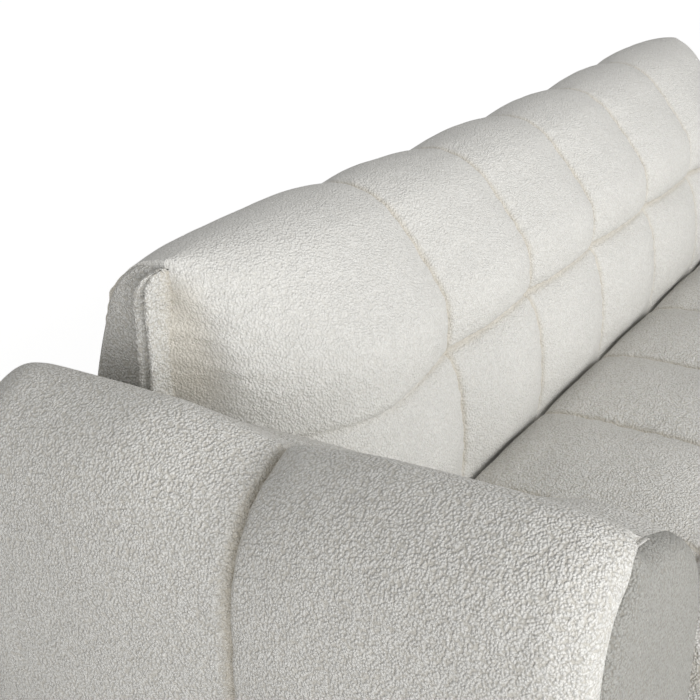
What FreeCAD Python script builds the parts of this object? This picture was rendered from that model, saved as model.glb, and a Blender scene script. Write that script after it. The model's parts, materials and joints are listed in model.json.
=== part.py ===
import FreeCAD, Part
import math
import os
import Sketcher

Vector = FreeCAD.Vector

# A long upholstered sofa: quilted back and bench seat, fat rolled arms at both ends, plywood rib frame.
# Millimetres. Origin on the floor under the middle. +X runs along the sofa, -Y is its front, +Z is up.
document = FreeCAD.newDocument("sofa")
sheet = document.addObject("Spreadsheet::Sheet", "Sizes")

# Driving dimensions
SIZES = {
    # Quilting grid
    "column_pitch": 300,
    "column_count": 6,
    "back_half_length": 1026,
    "seat_half_width": 845,
    # Back cushion, as places along Y and heights
    "mid_seam_y": 80,
    "mid_seam_height": 630,
    "back_foot_y": 46,
    "back_foot_height": 405,
    "lower_panel_y": 43,
    "lower_panel_height": 500,
    "upper_panel_y": 76,
    "upper_panel_height": 668,
    "shoulder_y": 84,
    "shoulder_height": 712,
    "slope_y": 138,
    "slope_height": 800,
    "back_top_y": 242,
    "back_top_height": 868,
    "back_roll_y": 322,
    "back_roll_height": 848,
    "back_rear_top_y": 372,
    "back_rear_top_height": 760,
    "back_rear_mid_y": 400,
    "back_rear_mid_height": 660,
    "back_rear_low_y": 425,
    "back_rear_low_height": 520,
    "back_rear_foot_y": 446,
    "back_crown": 26,
    "mid_seam_crown": 8,
    "back_end_y": 266,
    "back_wrap_length": 226,
    "back_end_drop": 16,
    "back_skin": 14,
    "back_lip_height": 760,
    "outside_back_thickness": 18,
    "end_panel_thickness": 9,
    # Seat bench
    "seat_rear_y": 45.7,
    "seat_row_seam_y": -340,
    "seat_nose_y": -466,
    "seat_seam_height": 420,
    "seat_row_seam_height": 410,
    "seat_crown": 24,
    "seat_nose_crown": 14,
    "seat_skin": 15,
    # Arms, u is the distance from the middle of the sofa
    "arm_front_y": -376,
    "arm_seam_y": 23,
    "arm_rear_y": 483.4,
    "arm_inner_gap": 0.3,
    "arm_inner_u": "=seat_half_width + arm_inner_gap",
    "arm_pad_width": 191.7,
    "arm_joint_u": "=arm_inner_u + arm_pad_width",
    "arm_joint_height": 667,
    "arm_ridge_offset": 78,
    "arm_ridge_u": "=arm_joint_u + arm_ridge_offset",
    "arm_ridge_height": 708,
    "arm_side_offset": 127,
    "arm_side_u": "=arm_ridge_u + arm_side_offset",
    "arm_side_height": 590,
    "arm_foot_inset": 30,
    "arm_foot_u": "=arm_side_u - arm_foot_inset",
    "arm_shoulder_offset": 62.7,
    "arm_inner_shoulder_u": "=arm_inner_u + arm_shoulder_offset",
    "arm_inner_shoulder_height": 596,
    "arm_crown": 42,
    "arm_skin": 16,
    "arm_foam": 44,
    "arm_panel_thickness": 12,
    "arm_cover_foot_height": 240,
    # Sewn flanges
    "flange_layer": 4,
    "flange_gap": 3,
    "back_flange_width": 44,
    "back_flange_foot_height": 690,
    "back_flange_top_height": 842,
    "back_flange_turn": 25,
    "arm_flange_width": 24,
    # Timber
    "board": 25,
    "plywood": 18,
    "rail_height": 173,
    "frame_front_y": -450,
    "frame_rear_y": 95,
    "frame_inset": 15,
    "frame_half_width": "=seat_half_width - frame_inset",
    "rib_front_y": 150,
    "rib_top_height": 727,
    "rib_x": 280,
    "rib_end_x": 850,
    "rib_top_front_y": 215,
    "rib_top_rear_y": 363,
    "back_top_rail_rear_y": 358,
    "lumbar_rail_foot": 560,
    "lumbar_rail_height": 60,
    "back_bottom_rail_height": 80,
    "rib_opening_width": 150,
    "rib_opening_foot": 190,
    "rib_opening_top": 500,
    "rib_opening_lean": 12,
    "rib_opening_corner": 30,
    "arm_opening": 80,
    "arm_rail_width": 40,
    "arm_rail_height": 620,
    "corner_block": 80,
    "leg_block": 90,
    "leg_block_height": 30,
    # Straps and cloths
    "strap_thickness": 2,
    "strap_width": 70,
    "long_strap_count": 11,
    "cross_strap_count": 4,
    "back_strap_count": 4,
    "cloth_thickness": 1.5,
    "seat_gap": 0.5,
    # Feet
    "leg_height": 50,
    "leg_top": 62,
    "leg_foot": 50,
    "glide_thickness": 4,
    "glide_width": 34,
    "leg_plate": 3,
    "leg_plate_width": 80,
    "leg_front_y": -285,
    "leg_rear_y": 375,
    # Arm bolts
    "bolt_radius": 4,
    "bolt_head_radius": 8,
    "bolt_head_height": 5.5,
    "bolt_clearance": 0.3,
    "bolt_height": 140,
    "clearance": 0.3,
}
for row, (alias, size) in enumerate(SIZES.items(), start=1):
    sheet.set("A%d" % row, alias)
    sheet.set("B%d" % row, str(size))
    sheet.setAlias("B%d" % row, alias)
document.recompute()

nodes = {}


def size(alias):
    return float(sheet.get(alias))


def named(thing, label):
    thing.Label = label
    nodes[label] = thing
    return thing


def bind(thing, **expressions):
    for path, expression in expressions.items():
        thing.setExpression(path.replace("__", "."), expression)


def place(thing, along_x="0", along_y="0", along_z="0"):
    bind(thing, Placement__Base__x=along_x, Placement__Base__y=along_y, Placement__Base__z=along_z)


# Heights that many pieces share
FRAME_FOOT = "(Sizes.leg_height + Sizes.leg_plate)"
RAIL_TOP = "(%s + Sizes.rail_height)" % FRAME_FOOT
DECK = "(%s + 2 * Sizes.strap_thickness + Sizes.cloth_thickness + Sizes.seat_gap)" % RAIL_TOP
frame_foot = size("leg_height") + size("leg_plate")
rail_top = frame_foot + size("rail_height")
deck = rail_top + 2 * size("strap_thickness") + size("cloth_thickness") + size("seat_gap")


def box(label, length, width, height, along_x, along_y, along_z):
    board = document.addObject("Part::Box", label)
    bind(board, Length=length, Width=width, Height=height)
    place(board, along_x, along_y, along_z)
    return board


def group(label, pieces):
    together = document.addObject("Part::Compound", label)
    together.Links = pieces
    return together


def cut(label, base, tool):
    rest = document.addObject("Part::Cut", label)
    rest.Base = base
    rest.Tool = tool
    return rest


def polygon_sketch(body, role, points, opening=()):
    """A closed outline, and an opening in it, whose corners the expressions tie to the origin."""
    sketch = body.newObject("Sketcher::SketchObject", body.Name + "Outline")
    plane = [feature for feature in body.Origin.OriginFeatures if feature.Role == role][0]
    sketch.AttachmentSupport = (plane, "")
    sketch.MapMode = "FlatFace"
    for ring in (points, opening):
        first = sketch.GeometryCount
        corners = [(evaluate(x), evaluate(y)) for x, y in ring]
        count = len(corners)
        for i in range(count):
            start = Vector(*corners[i], 0)
            end = Vector(*corners[(i + 1) % count], 0)
            sketch.addGeometry(Part.LineSegment(start, end), False)
        for i in range(count):
            sketch.addConstraint(Sketcher.Constraint("Coincident", first + i, 2, first + (i + 1) % count, 1))
            for axis, expression, place_now in zip(("DistanceX", "DistanceY"), ring[i], corners[i]):
                index = sketch.addConstraint(Sketcher.Constraint(axis, -1, 1, first + i, 1, place_now))
                sketch.setExpression("Constraints[%d]" % index, expression)
    return sketch


def evaluate(expression):
    return float(sheet.evalExpression(expression.replace("Sizes.", "")))


def plate(label, role, points, thickness, opening=()):
    """A flat board of the given outline, centred on its plane."""
    body = document.addObject("PartDesign::Body", label)
    pad = body.newObject("PartDesign::Pad", label + "Board")
    pad.Profile = polygon_sketch(body, role, points, opening)
    pad.SideType = "Symmetric"
    bind(pad, Length=thickness)
    return body


# Curved sections
def line(start, end):
    return Part.LineSegment(start, end).toShape()


def arc(start, through, end):
    return Part.Arc(start, through, end).toShape()


CURVE_STEPS = 4


def stepped(section):
    """The same closed section with each curve turned into a few straight lines."""
    points = []
    for edge in section.Edges:
        count = 2 if isinstance(edge.Curve, Part.Line) else CURVE_STEPS + 1
        points += edge.discretize(count)[:-1]
    return Part.makePolygon(points + points[:1])


def loft(sections):
    return Part.makeLoft([stepped(section) for section in sections], True, True)


def puff(share):
    """How full a quilted panel is, from 0 at its seams to 1 in the middle."""
    return math.sin(math.pi * share) ** 0.65


BACK_SHARES = (0, 0.07, 0.22, 0.5, 0.78, 0.93, 1)
SEAT_SHARES = (0, 0.1, 0.32, 0.68, 0.9, 1)


def column_stations(start, end, shares):
    """Places across one column, with how full the panel is at each."""
    return [(start + (end - start) * share, puff(share) if 0 < share < 1 else 0) for share in shares]


def back_section(x, crown, wrap=0, drop=0):
    """Outline of the back across X: straight foot, two front panels, rolled top, leaning rear."""
    end_y = size("back_end_y")

    def point(name_y, name_z, forward=0, upward=0):
        y = size(name_y) - crown * forward
        z = size(name_z) + crown * upward
        if y < end_y:
            y += wrap * (end_y - y)
        above = max(z - size("mid_seam_height"), 0) / (size("back_top_height") - size("mid_seam_height"))
        return Vector(x, y, z - drop * above)

    full = size("back_crown")
    foot = point("back_foot_y", "back_foot_height")
    ground = Vector(x, foot.y, deck)
    lower = point("lower_panel_y", "lower_panel_height", forward=full * 0.85)
    seam = point("mid_seam_y", "mid_seam_height", forward=size("mid_seam_crown"))
    upper = point("upper_panel_y", "upper_panel_height", forward=full)
    shoulder = point("shoulder_y", "shoulder_height", forward=full, upward=full * 0.2)
    slope = point("slope_y", "slope_height", forward=full * 0.8, upward=full * 0.7)
    top = point("back_top_y", "back_top_height", upward=full * 0.95)
    roll = point("back_roll_y", "back_roll_height", upward=full * 0.55)
    rear_top = point("back_rear_top_y", "back_rear_top_height")
    rear_mid = Vector(x, size("back_rear_mid_y"), size("back_rear_mid_height"))
    rear_low = Vector(x, size("back_rear_low_y"), size("back_rear_low_height"))
    rear_foot = Vector(x, size("back_rear_foot_y"), deck)
    return Part.Wire([
        line(ground, foot),
        arc(foot, lower, seam),
        arc(seam, upper, shoulder),
        arc(shoulder, slope, top),
        arc(top, roll, rear_top),
        arc(rear_top, rear_mid, rear_low),
        line(rear_low, rear_foot),
        line(rear_foot, ground),
    ])


def column_seams():
    half = int(size("column_count")) // 2 - 1
    return [size("column_pitch") * i for i in range(-half, half + 1)]


def end_shape(share):
    """Crown, wrap and drop of the back at a share of the way round its rounded end."""
    wrap = 0.97 * (1 - math.sqrt(1 - share * share))
    return 1 - 0.5 * share ** 3, wrap, size("back_end_drop") * share ** 2


def back_end_stations():
    """Places from the last seam to the rounded end of the back, with the section's shape at each."""
    seam = column_seams()[-1]
    reach = size("back_wrap_length")
    full_x = size("back_half_length") - reach
    stations = []
    for share in (0.12, 0.35, 0.65):
        stations.append((seam + (full_x - seam) * share, puff(share / 2), 0, 0))
    for share in (0, 0.27, 0.53, 0.75, 0.885, 0.965, 1):
        stations.append((full_x + reach * share, *end_shape(share)))
    return stations


def column_row(seams, shares):
    """Stations of several columns side by side, each shared seam once."""
    stations = []
    for start, end in zip(seams, seams[1:]):
        stations += column_stations(start, end, shares)[:-1]
    return stations + [(seams[-1], 0)]


def quilted_back():
    """The back's outer form: a ruled loft through every column and both rounded ends."""
    ends = back_end_stations()
    stations = [(-x, *shape) for x, *shape in reversed(ends)] + column_row(column_seams(), BACK_SHARES) + ends
    return loft([back_section(x, *shape) for x, *shape in stations])


def extruded(points, start, length, axis):
    """A prism of straight sides: points across the axis, from start, as long as length."""
    if axis == "x":
        corners = [Vector(start, y, z) for y, z in points]
        way = Vector(length, 0, 0)
    else:
        corners = [Vector(x, start, z) for x, z in points]
        way = Vector(0, length, 0)
    return Part.Face(Part.makePolygon(corners + corners[:1])).extrude(way)


def across(points, half_length):
    return extruded(points, -half_length, 2 * half_length, "x")


def back_cavity_outline(skin):
    """Inner outline of the back cover's front and top, a skin's thickness behind the seams."""
    return [
        (size("back_foot_y") + skin, deck - 1),
        (size("lower_panel_y") + skin + 4, size("lower_panel_height") + 20),
        (size("mid_seam_y") + skin, size("mid_seam_height")),
        (size("mid_seam_y") + skin, size("upper_panel_height")),
        (size("shoulder_y") + skin + 4, size("shoulder_height")),
        (size("slope_y") + skin + 4, size("slope_height") - skin * 0.6),
        (size("back_top_y"), size("back_top_height") - skin - 2),
        (size("back_roll_y") - skin * 0.5, size("back_roll_height") - skin - 2),
        (size("back_rear_top_y") - size("outside_back_thickness"), size("back_lip_height")),
    ]


def rear_outline(depth):
    """The leaning rear line of the back, a depth inside its surface, from the foot up."""
    return [
        (size("back_rear_foot_y") - depth, deck),
        (size("back_rear_low_y") - depth, size("back_rear_low_height")),
        (size("back_rear_mid_y") - depth, size("back_rear_mid_height")),
        (size("back_rear_top_y") - depth, size("back_lip_height")),
    ]


def feature(label, shape):
    solid = document.addObject("Part::Feature", label)
    solid.Shape = shape
    return named(solid, label)


# Back cushion
gap = size("clearance")
back_form = quilted_back()
wide = size("back_half_length") + 50
far = size("back_rear_foot_y") + 100
rear_room = across(rear_outline(size("outside_back_thickness")) + [(far, size("back_lip_height")), (far, deck)], wide)
cavity_outline = back_cavity_outline(size("back_skin")) + [(far, size("back_lip_height")), (far, deck - 1)]
rib_half = size("rib_end_x") + size("plywood") / 2
cavity = across(cavity_outline, rib_half + 1)


def end_room(side, inset, rear):
    """The room for foam in one end of the back, between its rounded front and the rear outline given."""
    skin = size("back_skin") + inset
    outline = [
        (size("back_end_y") + skin + 4, deck - 1 + 2 * inset),
        (size("back_end_y") + skin + 4, size("back_top_height") - size("back_end_drop") - skin - 16),
        (size("back_roll_y") - 16, size("back_roll_height") - skin - 8),
    ]
    start = rib_half + 1 + skin
    room = extruded(outline + rear, start, size("back_half_length") - skin - start, "x")
    return room if side > 0 else room.mirror(Vector(), Vector(1, 0, 0))


lip = (size("back_rear_top_y") - size("outside_back_thickness"), size("back_lip_height"))
end_cuts = [end_room(side, 0, [lip, (far, size("back_lip_height")), (far, deck - 1)]) for side in (-1, 1)]
hollows = rear_room.multiFuse([cavity] + end_cuts).removeSplitter()
feature("back_cover", back_form.cut(hollows))

# Foam in the ends of the back
foam_rear = list(reversed(rear_outline(size("outside_back_thickness") + gap)))
feature("back_end_foam", Part.makeCompound([end_room(side, gap, foam_rear) for side in (-1, 1)]))

# Outside back: a padded board that closes the rear from the floor frame to the back cover's lip
outer_rear = [
    (size("back_rear_foot_y"), frame_foot),
    (size("back_rear_foot_y") - size("outside_back_thickness") + gap, frame_foot),
]
rear_line = rear_outline(size("outside_back_thickness") - gap)
rear_face = Part.Wire([
    line(Vector(0, size("back_rear_foot_y"), frame_foot), Vector(0, size("back_rear_foot_y"), deck)),
    line(Vector(0, size("back_rear_foot_y"), deck), Vector(0, size("back_rear_low_y"), size("back_rear_low_height"))),
    arc(
        Vector(0, size("back_rear_low_y"), size("back_rear_low_height")),
        Vector(0, size("back_rear_mid_y"), size("back_rear_mid_height")),
        Vector(0, size("back_rear_top_y"), size("back_rear_top_height") - gap),
    ),
    line(
        Vector(0, size("back_rear_top_y"), size("back_rear_top_height") - gap),
        Vector(0, rear_line[3][0], size("back_lip_height") - gap),
    ),
    line(Vector(0, rear_line[3][0], size("back_lip_height") - gap), Vector(0, *rear_line[2])),
    line(Vector(0, *rear_line[2]), Vector(0, *rear_line[1])),
    line(Vector(0, *rear_line[1]), Vector(0, *rear_line[0])),
    line(Vector(0, *rear_line[0]), Vector(0, *outer_rear[1])),
    line(Vector(0, *outer_rear[1]), Vector(0, *outer_rear[0])),
])
outside_back = Part.Face(rear_face).extrude(Vector(2 * size("back_half_length") - 8, 0, 0))
outside_back.translate(Vector(4 - size("back_half_length"), 0, 0))
feature("outside_back_panel", outside_back)


# Ends of the back: a plain panel, and a double flange sewn into the corner in front of it
def bevelled_panel(outline, way, thickness, bevel):
    """A padded panel: its outline pushed along way, with the far rim bevelled."""
    straight = Part.Face(outline).extrude(way * (thickness - bevel))
    base = outline.copy()
    base.translate(way * (thickness - bevel))
    rim = outline.makeOffset2D(-bevel)
    rim.translate(way * thickness)
    return straight.fuse(loft([base, rim]))


def back_end_panel(side):
    outline = back_section(side * (size("back_half_length") + gap), *end_shape(1)).makeOffset2D(-6)
    thickness = size("end_panel_thickness")
    return bevelled_panel(outline, Vector(side, 0, 0), thickness, thickness * 0.4)


def back_flange(side):
    """Two layers of cover, sewn together at the root and open at the lip like a narrow V."""
    width = size("back_flange_width")
    layer = size("flange_layer")
    spread = size("flange_gap") / 2
    foot = size("back_flange_foot_height")
    height = size("back_flange_top_height") - foot
    half = [
        Vector(0, 0, foot),
        Vector(layer, 0, foot),
        Vector(width, spread, foot),
        Vector(width, spread + layer, foot),
        Vector(0, layer, foot),
    ]
    face = Part.Face(Part.makePolygon(half + half[:1]))
    one = face.extrude(Vector(0, 0, height))
    both = one.fuse(one.mirror(Vector(), Vector(0, 1, 0)))
    both.rotate(Vector(), Vector(0, 0, 1), size("back_flange_turn"))
    root = both.BoundBox
    both.translate(Vector(size("back_half_length") + gap - root.XMin, size("back_end_y") - 2 - root.YMax, 0))
    both.translate(Vector(0, width * math.sin(math.radians(size("back_flange_turn"))), 0))
    return both if side > 0 else both.mirror(Vector(), Vector(1, 0, 0))


SIDES = (("left", -1), ("right", 1))
for word, side in SIDES:
    feature("back_end_panel_" + word, back_end_panel(side))


# Seat bench
def seat_section(x, crown):
    """Outline of the seat across X: deep first row, row seam, front row that rolls over the nose."""
    full = crown * size("seat_crown")
    nose = crown * size("seat_nose_crown")
    rear = size("seat_rear_y")
    seam_y = size("seat_row_seam_y")
    nose_y = size("seat_nose_y")
    top = size("seat_seam_height")
    row = size("seat_row_seam_height")
    rear_foot = Vector(x, rear, deck)
    rear_top = Vector(x, rear, top - 26)
    rear_round = Vector(x, rear - 12, top - 8 + full * 0.2)
    start = Vector(x, rear - 44, top - 1 + full * 0.55)
    middle = Vector(x, (rear + seam_y) / 2, top + 2 + full)
    seam = Vector(x, seam_y, row + full * 0.2)
    lip = Vector(x, seam_y - 58, top + 2 + nose)
    brow = Vector(x, nose_y + 14, top - 34 + nose * 0.7)
    face = Vector(x, nose_y - 4 - nose * 0.8, top - 95)
    foot = Vector(x, nose_y - nose * 0.3, deck)
    return Part.Wire([
        line(rear_foot, rear_top),
        arc(rear_top, rear_round, start),
        arc(start, middle, seam),
        arc(seam, lip, brow),
        arc(brow, face, foot),
        line(foot, rear_foot),
    ])


def quilted_seat():
    half = size("seat_half_width")
    stations = column_row([-half] + column_seams() + [half], SEAT_SHARES)
    stations[0] = (-half, 0.35)
    stations[-1] = (half, 0.35)
    return loft([seat_section(x, crown) for x, crown in stations])


def seat_core(skin, foot):
    """The block of foam inside the seat cover, chamfered behind the nose."""
    front = size("seat_nose_y") + skin + 3
    top = size("seat_row_seam_height") - skin + 1
    outline = [
        (size("seat_rear_y") - skin, foot),
        (size("seat_rear_y") - skin, top),
        (front + 36, top),
        (front, top - 46),
        (front, foot),
    ]
    return across(outline, size("seat_half_width") - skin)


feature("seat_cover", quilted_seat().cut(seat_core(size("seat_skin"), deck - 1)))
feature("seat_foam", seat_core(size("seat_skin") + gap, deck))


# Arms
def fullness(y):
    """How full the arm is along its length: empty at the middle seam, full in each puff."""
    front = size("arm_front_y")
    seam = size("arm_seam_y")
    rear = size("arm_rear_y")
    if y <= seam:
        share = (seam - y) / (seam - front)
        return min(1, math.sin(math.pi / 2 * min(share / 0.8, 1)) ** 0.8) - 0.25 * max(share - 0.8, 0) / 0.2
    share = (y - seam) / (rear - seam)
    rise = math.sin(math.pi / 2 * min(share / 0.4, 1)) ** 1.2
    return 0.95 * rise - 1.75 * max((share - 0.74) / 0.26, 0) ** 2.2


def arm_point(y, side, u, height):
    return Vector(side * u, y, height)


def arm_slab_section(y, side, crown):
    """The arm's outer part across Y: inner joint, ridge, rolled side, foot."""
    full = crown * size("arm_crown")
    positive = max(full, 0)
    joint = size("arm_joint_u")
    ridge_u = size("arm_ridge_u")
    side_u = size("arm_side_u")
    foot = arm_point(y, side, joint, frame_foot)
    inner = arm_point(y, side, joint, size("arm_joint_height") + full * 0.22)
    slope = arm_point(y, side, (joint + ridge_u) / 2 + full * 0.35, size("arm_joint_height") + 27 + full * 0.68)
    ridge = arm_point(y, side, ridge_u + full * 0.8, size("arm_ridge_height") + full)
    roll = arm_point(y, side, (ridge_u + side_u) / 2 + 15 + full * 0.75, size("arm_ridge_height") - 33 + full * 0.75)
    out = arm_point(y, side, side_u + full * 0.42, size("arm_side_height") + full * 0.2)
    belly = arm_point(y, side, side_u - 2 + full * 0.45, size("arm_side_height") * 0.55)
    sole = arm_point(y, side, size("arm_foot_u") + positive * 0.25, frame_foot)
    return Part.Wire([
        line(foot, inner),
        arc(inner, slope, ridge),
        arc(ridge, roll, out),
        arc(out, belly, sole),
        line(sole, foot),
    ])


def arm_pad_section(y, side, crown):
    """The arm's inner part across Y: sloping top, rounded shoulder, face towards the seat."""
    full = crown * size("arm_crown")
    joint = size("arm_joint_u")
    inner_u = size("arm_inner_u")
    shoulder_u = size("arm_inner_shoulder_u")
    foot = arm_point(y, side, joint, size("arm_cover_foot_height"))
    high = arm_point(y, side, joint, size("arm_joint_height") + full * 0.22)
    middle = arm_point(y, side, (joint + shoulder_u) / 2, (high.z + size("arm_inner_shoulder_height")) / 2 + 3 + full * 0.2)
    shoulder = arm_point(y, side, shoulder_u, size("arm_inner_shoulder_height") + full * 0.15)
    turn = arm_point(y, side, inner_u + 13, size("arm_inner_shoulder_height") - 34 + full * 0.15)
    face = arm_point(y, side, inner_u, size("arm_inner_shoulder_height") - 96)
    low = arm_point(y, side, inner_u, size("arm_cover_foot_height"))
    return Part.Wire([
        line(foot, high),
        arc(high, middle, shoulder),
        arc(shoulder, turn, face),
        line(face, low),
        line(low, foot),
    ])


def arm_stations(start, end, shares):
    return [start + (end - start) * share for share in shares]


def arm_core(side, depth):
    """The arm's outline between seams, moved in by a depth, as one flat face at Y = 0."""
    joint = size("arm_joint_u")
    slab = arm_slab_section(0, side, 0).Edges
    pad = arm_pad_section(0, side, 0).Edges
    sole = slab[4].Vertexes[0].Point
    low = arm_point(0, side, size("arm_inner_u"), frame_foot)
    outline = Part.Wire(Part.__sortEdges__(
        slab[1:4] + pad[1:3] + [line(pad[3].Vertexes[0].Point, low), line(low, sole)]
    ))
    return Part.Face(outline.makeOffset2D(-depth) if depth else outline)


def arm_prism(side, depth, start, end):
    face = arm_core(side, depth)
    face.translate(Vector(0, start, 0))
    return face.extrude(Vector(0, end - start, 0))


# Tools that cut everything on one side reach this far
far = 2 * size("arm_side_u")


def side_box(side, low_u, high_u, low_y, high_y, low_z, high_z):
    block = Part.makeBox(high_u - low_u, high_y - low_y, high_z - low_z, Vector(low_u, low_y, low_z))
    return block if side > 0 else block.mirror(Vector(), Vector(1, 0, 0))


FRONT_SHARES = (0, 0.1, 0.3, 0.55, 0.8, 0.94, 1)
REAR_SHARES = (0, 0.05, 0.17, 0.36, 0.74, 0.87, 0.95, 1)


def build_arm(word, side):
    front = size("arm_front_y")
    seam = size("arm_seam_y")
    rear = size("arm_rear_y")
    skin = size("arm_skin")
    joint = size("arm_joint_u")
    outside = size("arm_side_u") + 100
    hollow = arm_prism(side, skin, front + gap, rear - skin)
    low_hollow = side_box(side, size("frame_half_width"), size("arm_foot_u") - skin, front + gap, rear - skin,
                          frame_foot - 1, frame_foot + skin + 2)
    hollow = hollow.fuse(low_hollow)
    for name, start, end, shares in (
        ("arm_front_puff_", front, seam, FRONT_SHARES),
        ("arm_rear_puff_", seam, rear, REAR_SHARES),
    ):
        form = loft([arm_slab_section(y, side, fullness(y)) for y in arm_stations(start, end, shares)])
        feature(name + word, form.cut(hollow))
    # The back's corner flange stops where it meets the rear puff
    form.translate(Vector(0, 0, gap))
    feature("back_flange_" + word, back_flange(side).cut(form))
    # The pad butts against the back, so the back's own form is cut from it, a clearance in front
    pad_end = size("back_end_y") - 10
    fronts = [arm_pad_section(y, side, fullness(y)) for y in arm_stations(front, seam, FRONT_SHARES)]
    behind = [arm_pad_section(y, side, fullness(y)) for y in arm_stations(seam, pad_end, (0.2, 0.6, 1))]
    pad = loft(fronts + behind)
    back = back_form.copy()
    back.translate(Vector(0, -gap, 0))
    pad = pad.cut(back).cut(hollow)
    feature("inside_arm_pad_" + word, pad)
    # Foam between the cover and the ribs
    foam_depth = skin + size("arm_foam")
    shell = arm_prism(side, skin + gap, front + 18, rear - skin - gap)
    core = arm_prism(side, foam_depth, front, rear)
    core = core.fuse(side_box(side, size("frame_half_width"), size("arm_foot_u") - foam_depth, front, rear,
                              frame_foot - 1, frame_foot + foam_depth + 2))
    outer_zone = side_box(side, joint + 8, outside, front, rear, frame_foot, far)
    inner_zone = side_box(side, size("frame_half_width"), joint + 8, front, pad_end - skin,
                          size("arm_cover_foot_height"), far).cut(back)
    feature("arm_foam_" + word, shell.cut(core).common(outer_zone.fuse(inner_zone)))
    # Front panel and the sewn flange that frames it
    thickness = size("arm_panel_thickness")
    outline = arm_core(side, size("flange_layer") * 2 + 1).OuterWire
    outline.translate(Vector(0, front - gap, 0))
    feature("arm_front_panel_" + word, bevelled_panel(outline, Vector(0, -1, 0), thickness - gap, thickness * 0.4))
    width = size("arm_flange_width")
    ring = arm_prism(side, 0, front - width, front - gap)
    ring = ring.cut(arm_prism(side, size("flange_layer") * 2, front - width - 1, front))
    above = side_box(side, size("frame_half_width") - 20, outside, front - 2 * width, front, frame_foot + 40, far)
    feature("arm_flange_" + word, ring.common(above))
    build_arm_frame(word, side, foam_depth, front, rear)


def octagon(reach, corner):
    """Corners of a square opening with its own corners cut off."""
    flat = reach - corner
    return [(-flat, -reach), (flat, -reach), (reach, -flat), (reach, flat),
            (flat, reach), (-flat, reach), (-reach, flat), (-reach, -flat)]


def arm_rib(side, depth, middle_y, low_u):
    """A plywood rib of the arm, with its notches for the top rail and the bottom rail."""
    ply = size("plywood")
    rib = arm_prism(side, depth + gap, middle_y - ply / 2, middle_y + ply / 2)
    lower = side_box(side, low_u, size("arm_foot_u") - depth, middle_y - ply / 2, middle_y + ply / 2,
                     frame_foot, rail_top)
    rib = rib.fuse(lower)
    keep = side_box(side, low_u, far, middle_y - ply, middle_y + ply, frame_foot, size("arm_rail_height"))
    rib = rib.common(keep)
    notch = side_box(side, size("arm_foot_u") - depth - ply, far, middle_y - ply, middle_y + ply,
                     frame_foot - 1, frame_foot + size("back_bottom_rail_height"))
    reach = size("arm_opening") / 2
    corner = reach * 0.4
    middle_u = side * size("arm_ridge_u")
    middle_z = size("arm_side_height") * 0.62
    opening = [(middle_u + x, middle_z + 1.6 * z) for x, z in octagon(reach, corner)]
    return rib.cut(notch).cut(extruded(opening, middle_y - ply, 2 * ply, "y")).removeSplitter()


def build_arm_frame(word, side, depth, front, rear):
    ply = size("plywood")
    inner = size("frame_half_width") + ply
    first = front + 18 + ply / 2
    last = rear - size("arm_skin") - ply / 2 - gap
    middle = size("arm_seam_y") - ply
    ribs = [arm_rib(side, depth, y, inner) for y in (first, middle)]
    ribs += [arm_rib(side, depth, y, size("arm_joint_u") + 8) for y in ((middle + last) / 2, last)]
    feature("arm_ribs_" + word, Part.makeCompound(ribs))
    half = size("arm_rail_width") / 2
    ridge = size("arm_ridge_u")
    feature("arm_top_rail_" + word, side_box(
        side, ridge - half, ridge + half, first - ply / 2, last + ply / 2,
        size("arm_rail_height"), size("arm_rail_height") + ply))
    foot_u = size("arm_foot_u") - depth
    feature("arm_bottom_rail_" + word, side_box(
        side, foot_u - ply, foot_u, first - ply / 2, last + ply / 2,
        frame_foot, frame_foot + size("back_bottom_rail_height")))


for word, side in SIDES:
    build_arm(word, side)

# Back foam: a slab behind the lower panels, and the upper roll over the top rail
foam_skin = size("back_skin") + gap
outline = back_cavity_outline(foam_skin)
foam_half = rib_half
seam_height = size("mid_seam_height")
strap_y = size("rib_front_y") - size("strap_thickness") - gap
lower_slab = [(outline[0][0], deck), outline[1], (outline[2][0], seam_height - gap),
              (strap_y, seam_height - gap), (strap_y, deck)]
feature("back_foam_lower", across(lower_slab, foam_half))
rib_top = size("rib_top_height") + size("plywood") + gap
upper_roll = [(outline[2][0], seam_height)] + outline[3:8] + [
    (outline[8][0] - gap, size("back_lip_height")),
    (outline[8][0] - gap, rib_top),
    (size("rib_top_front_y") - gap, rib_top),
    (size("rib_top_front_y") - gap, size("rib_top_height")),
    (size("rib_front_y") + size("plywood") + 4 - gap, seam_height),
]
feature("back_foam_upper", across(upper_roll, foam_half))

# Seat frame
HALF = "Sizes.frame_half_width"
named(box("seat_front_rail", "2 * " + HALF, "Sizes.board", "Sizes.rail_height",
          "-" + HALF, "Sizes.frame_front_y", FRAME_FOOT), "seat_front_rail")
named(box("seat_back_rail", "2 * " + HALF, "Sizes.board", "Sizes.rail_height",
          "-" + HALF, "Sizes.frame_rear_y - Sizes.board", FRAME_FOOT), "seat_back_rail")
RUN = "(Sizes.frame_rear_y - Sizes.frame_front_y - 2 * Sizes.board)"
RUN_START = "(Sizes.frame_front_y + Sizes.board)"
BOLT_SHARES = (0.25, 0.75)


def bolt_y(share):
    return "%s + %s * %s" % (RUN_START, RUN, share)


def arm_bolt_bar(label, side, radius, low_u, high_u, share, six_sided=False):
    """A round or six-sided bar along X through the seat's end rail into the arm."""
    bar = document.addObject("Part::Prism" if six_sided else "Part::Cylinder", label)
    bind(bar, Height="%s - (%s)" % (high_u, low_u), **{"Circumradius" if six_sided else "Radius": radius})
    bar.Placement.Rotation = FreeCAD.Rotation(Vector(0, 1, 0), 90)
    start = low_u if side > 0 else "-(%s)" % high_u
    place(bar, start, bolt_y(share), "Sizes.bolt_height")
    return bar


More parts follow.
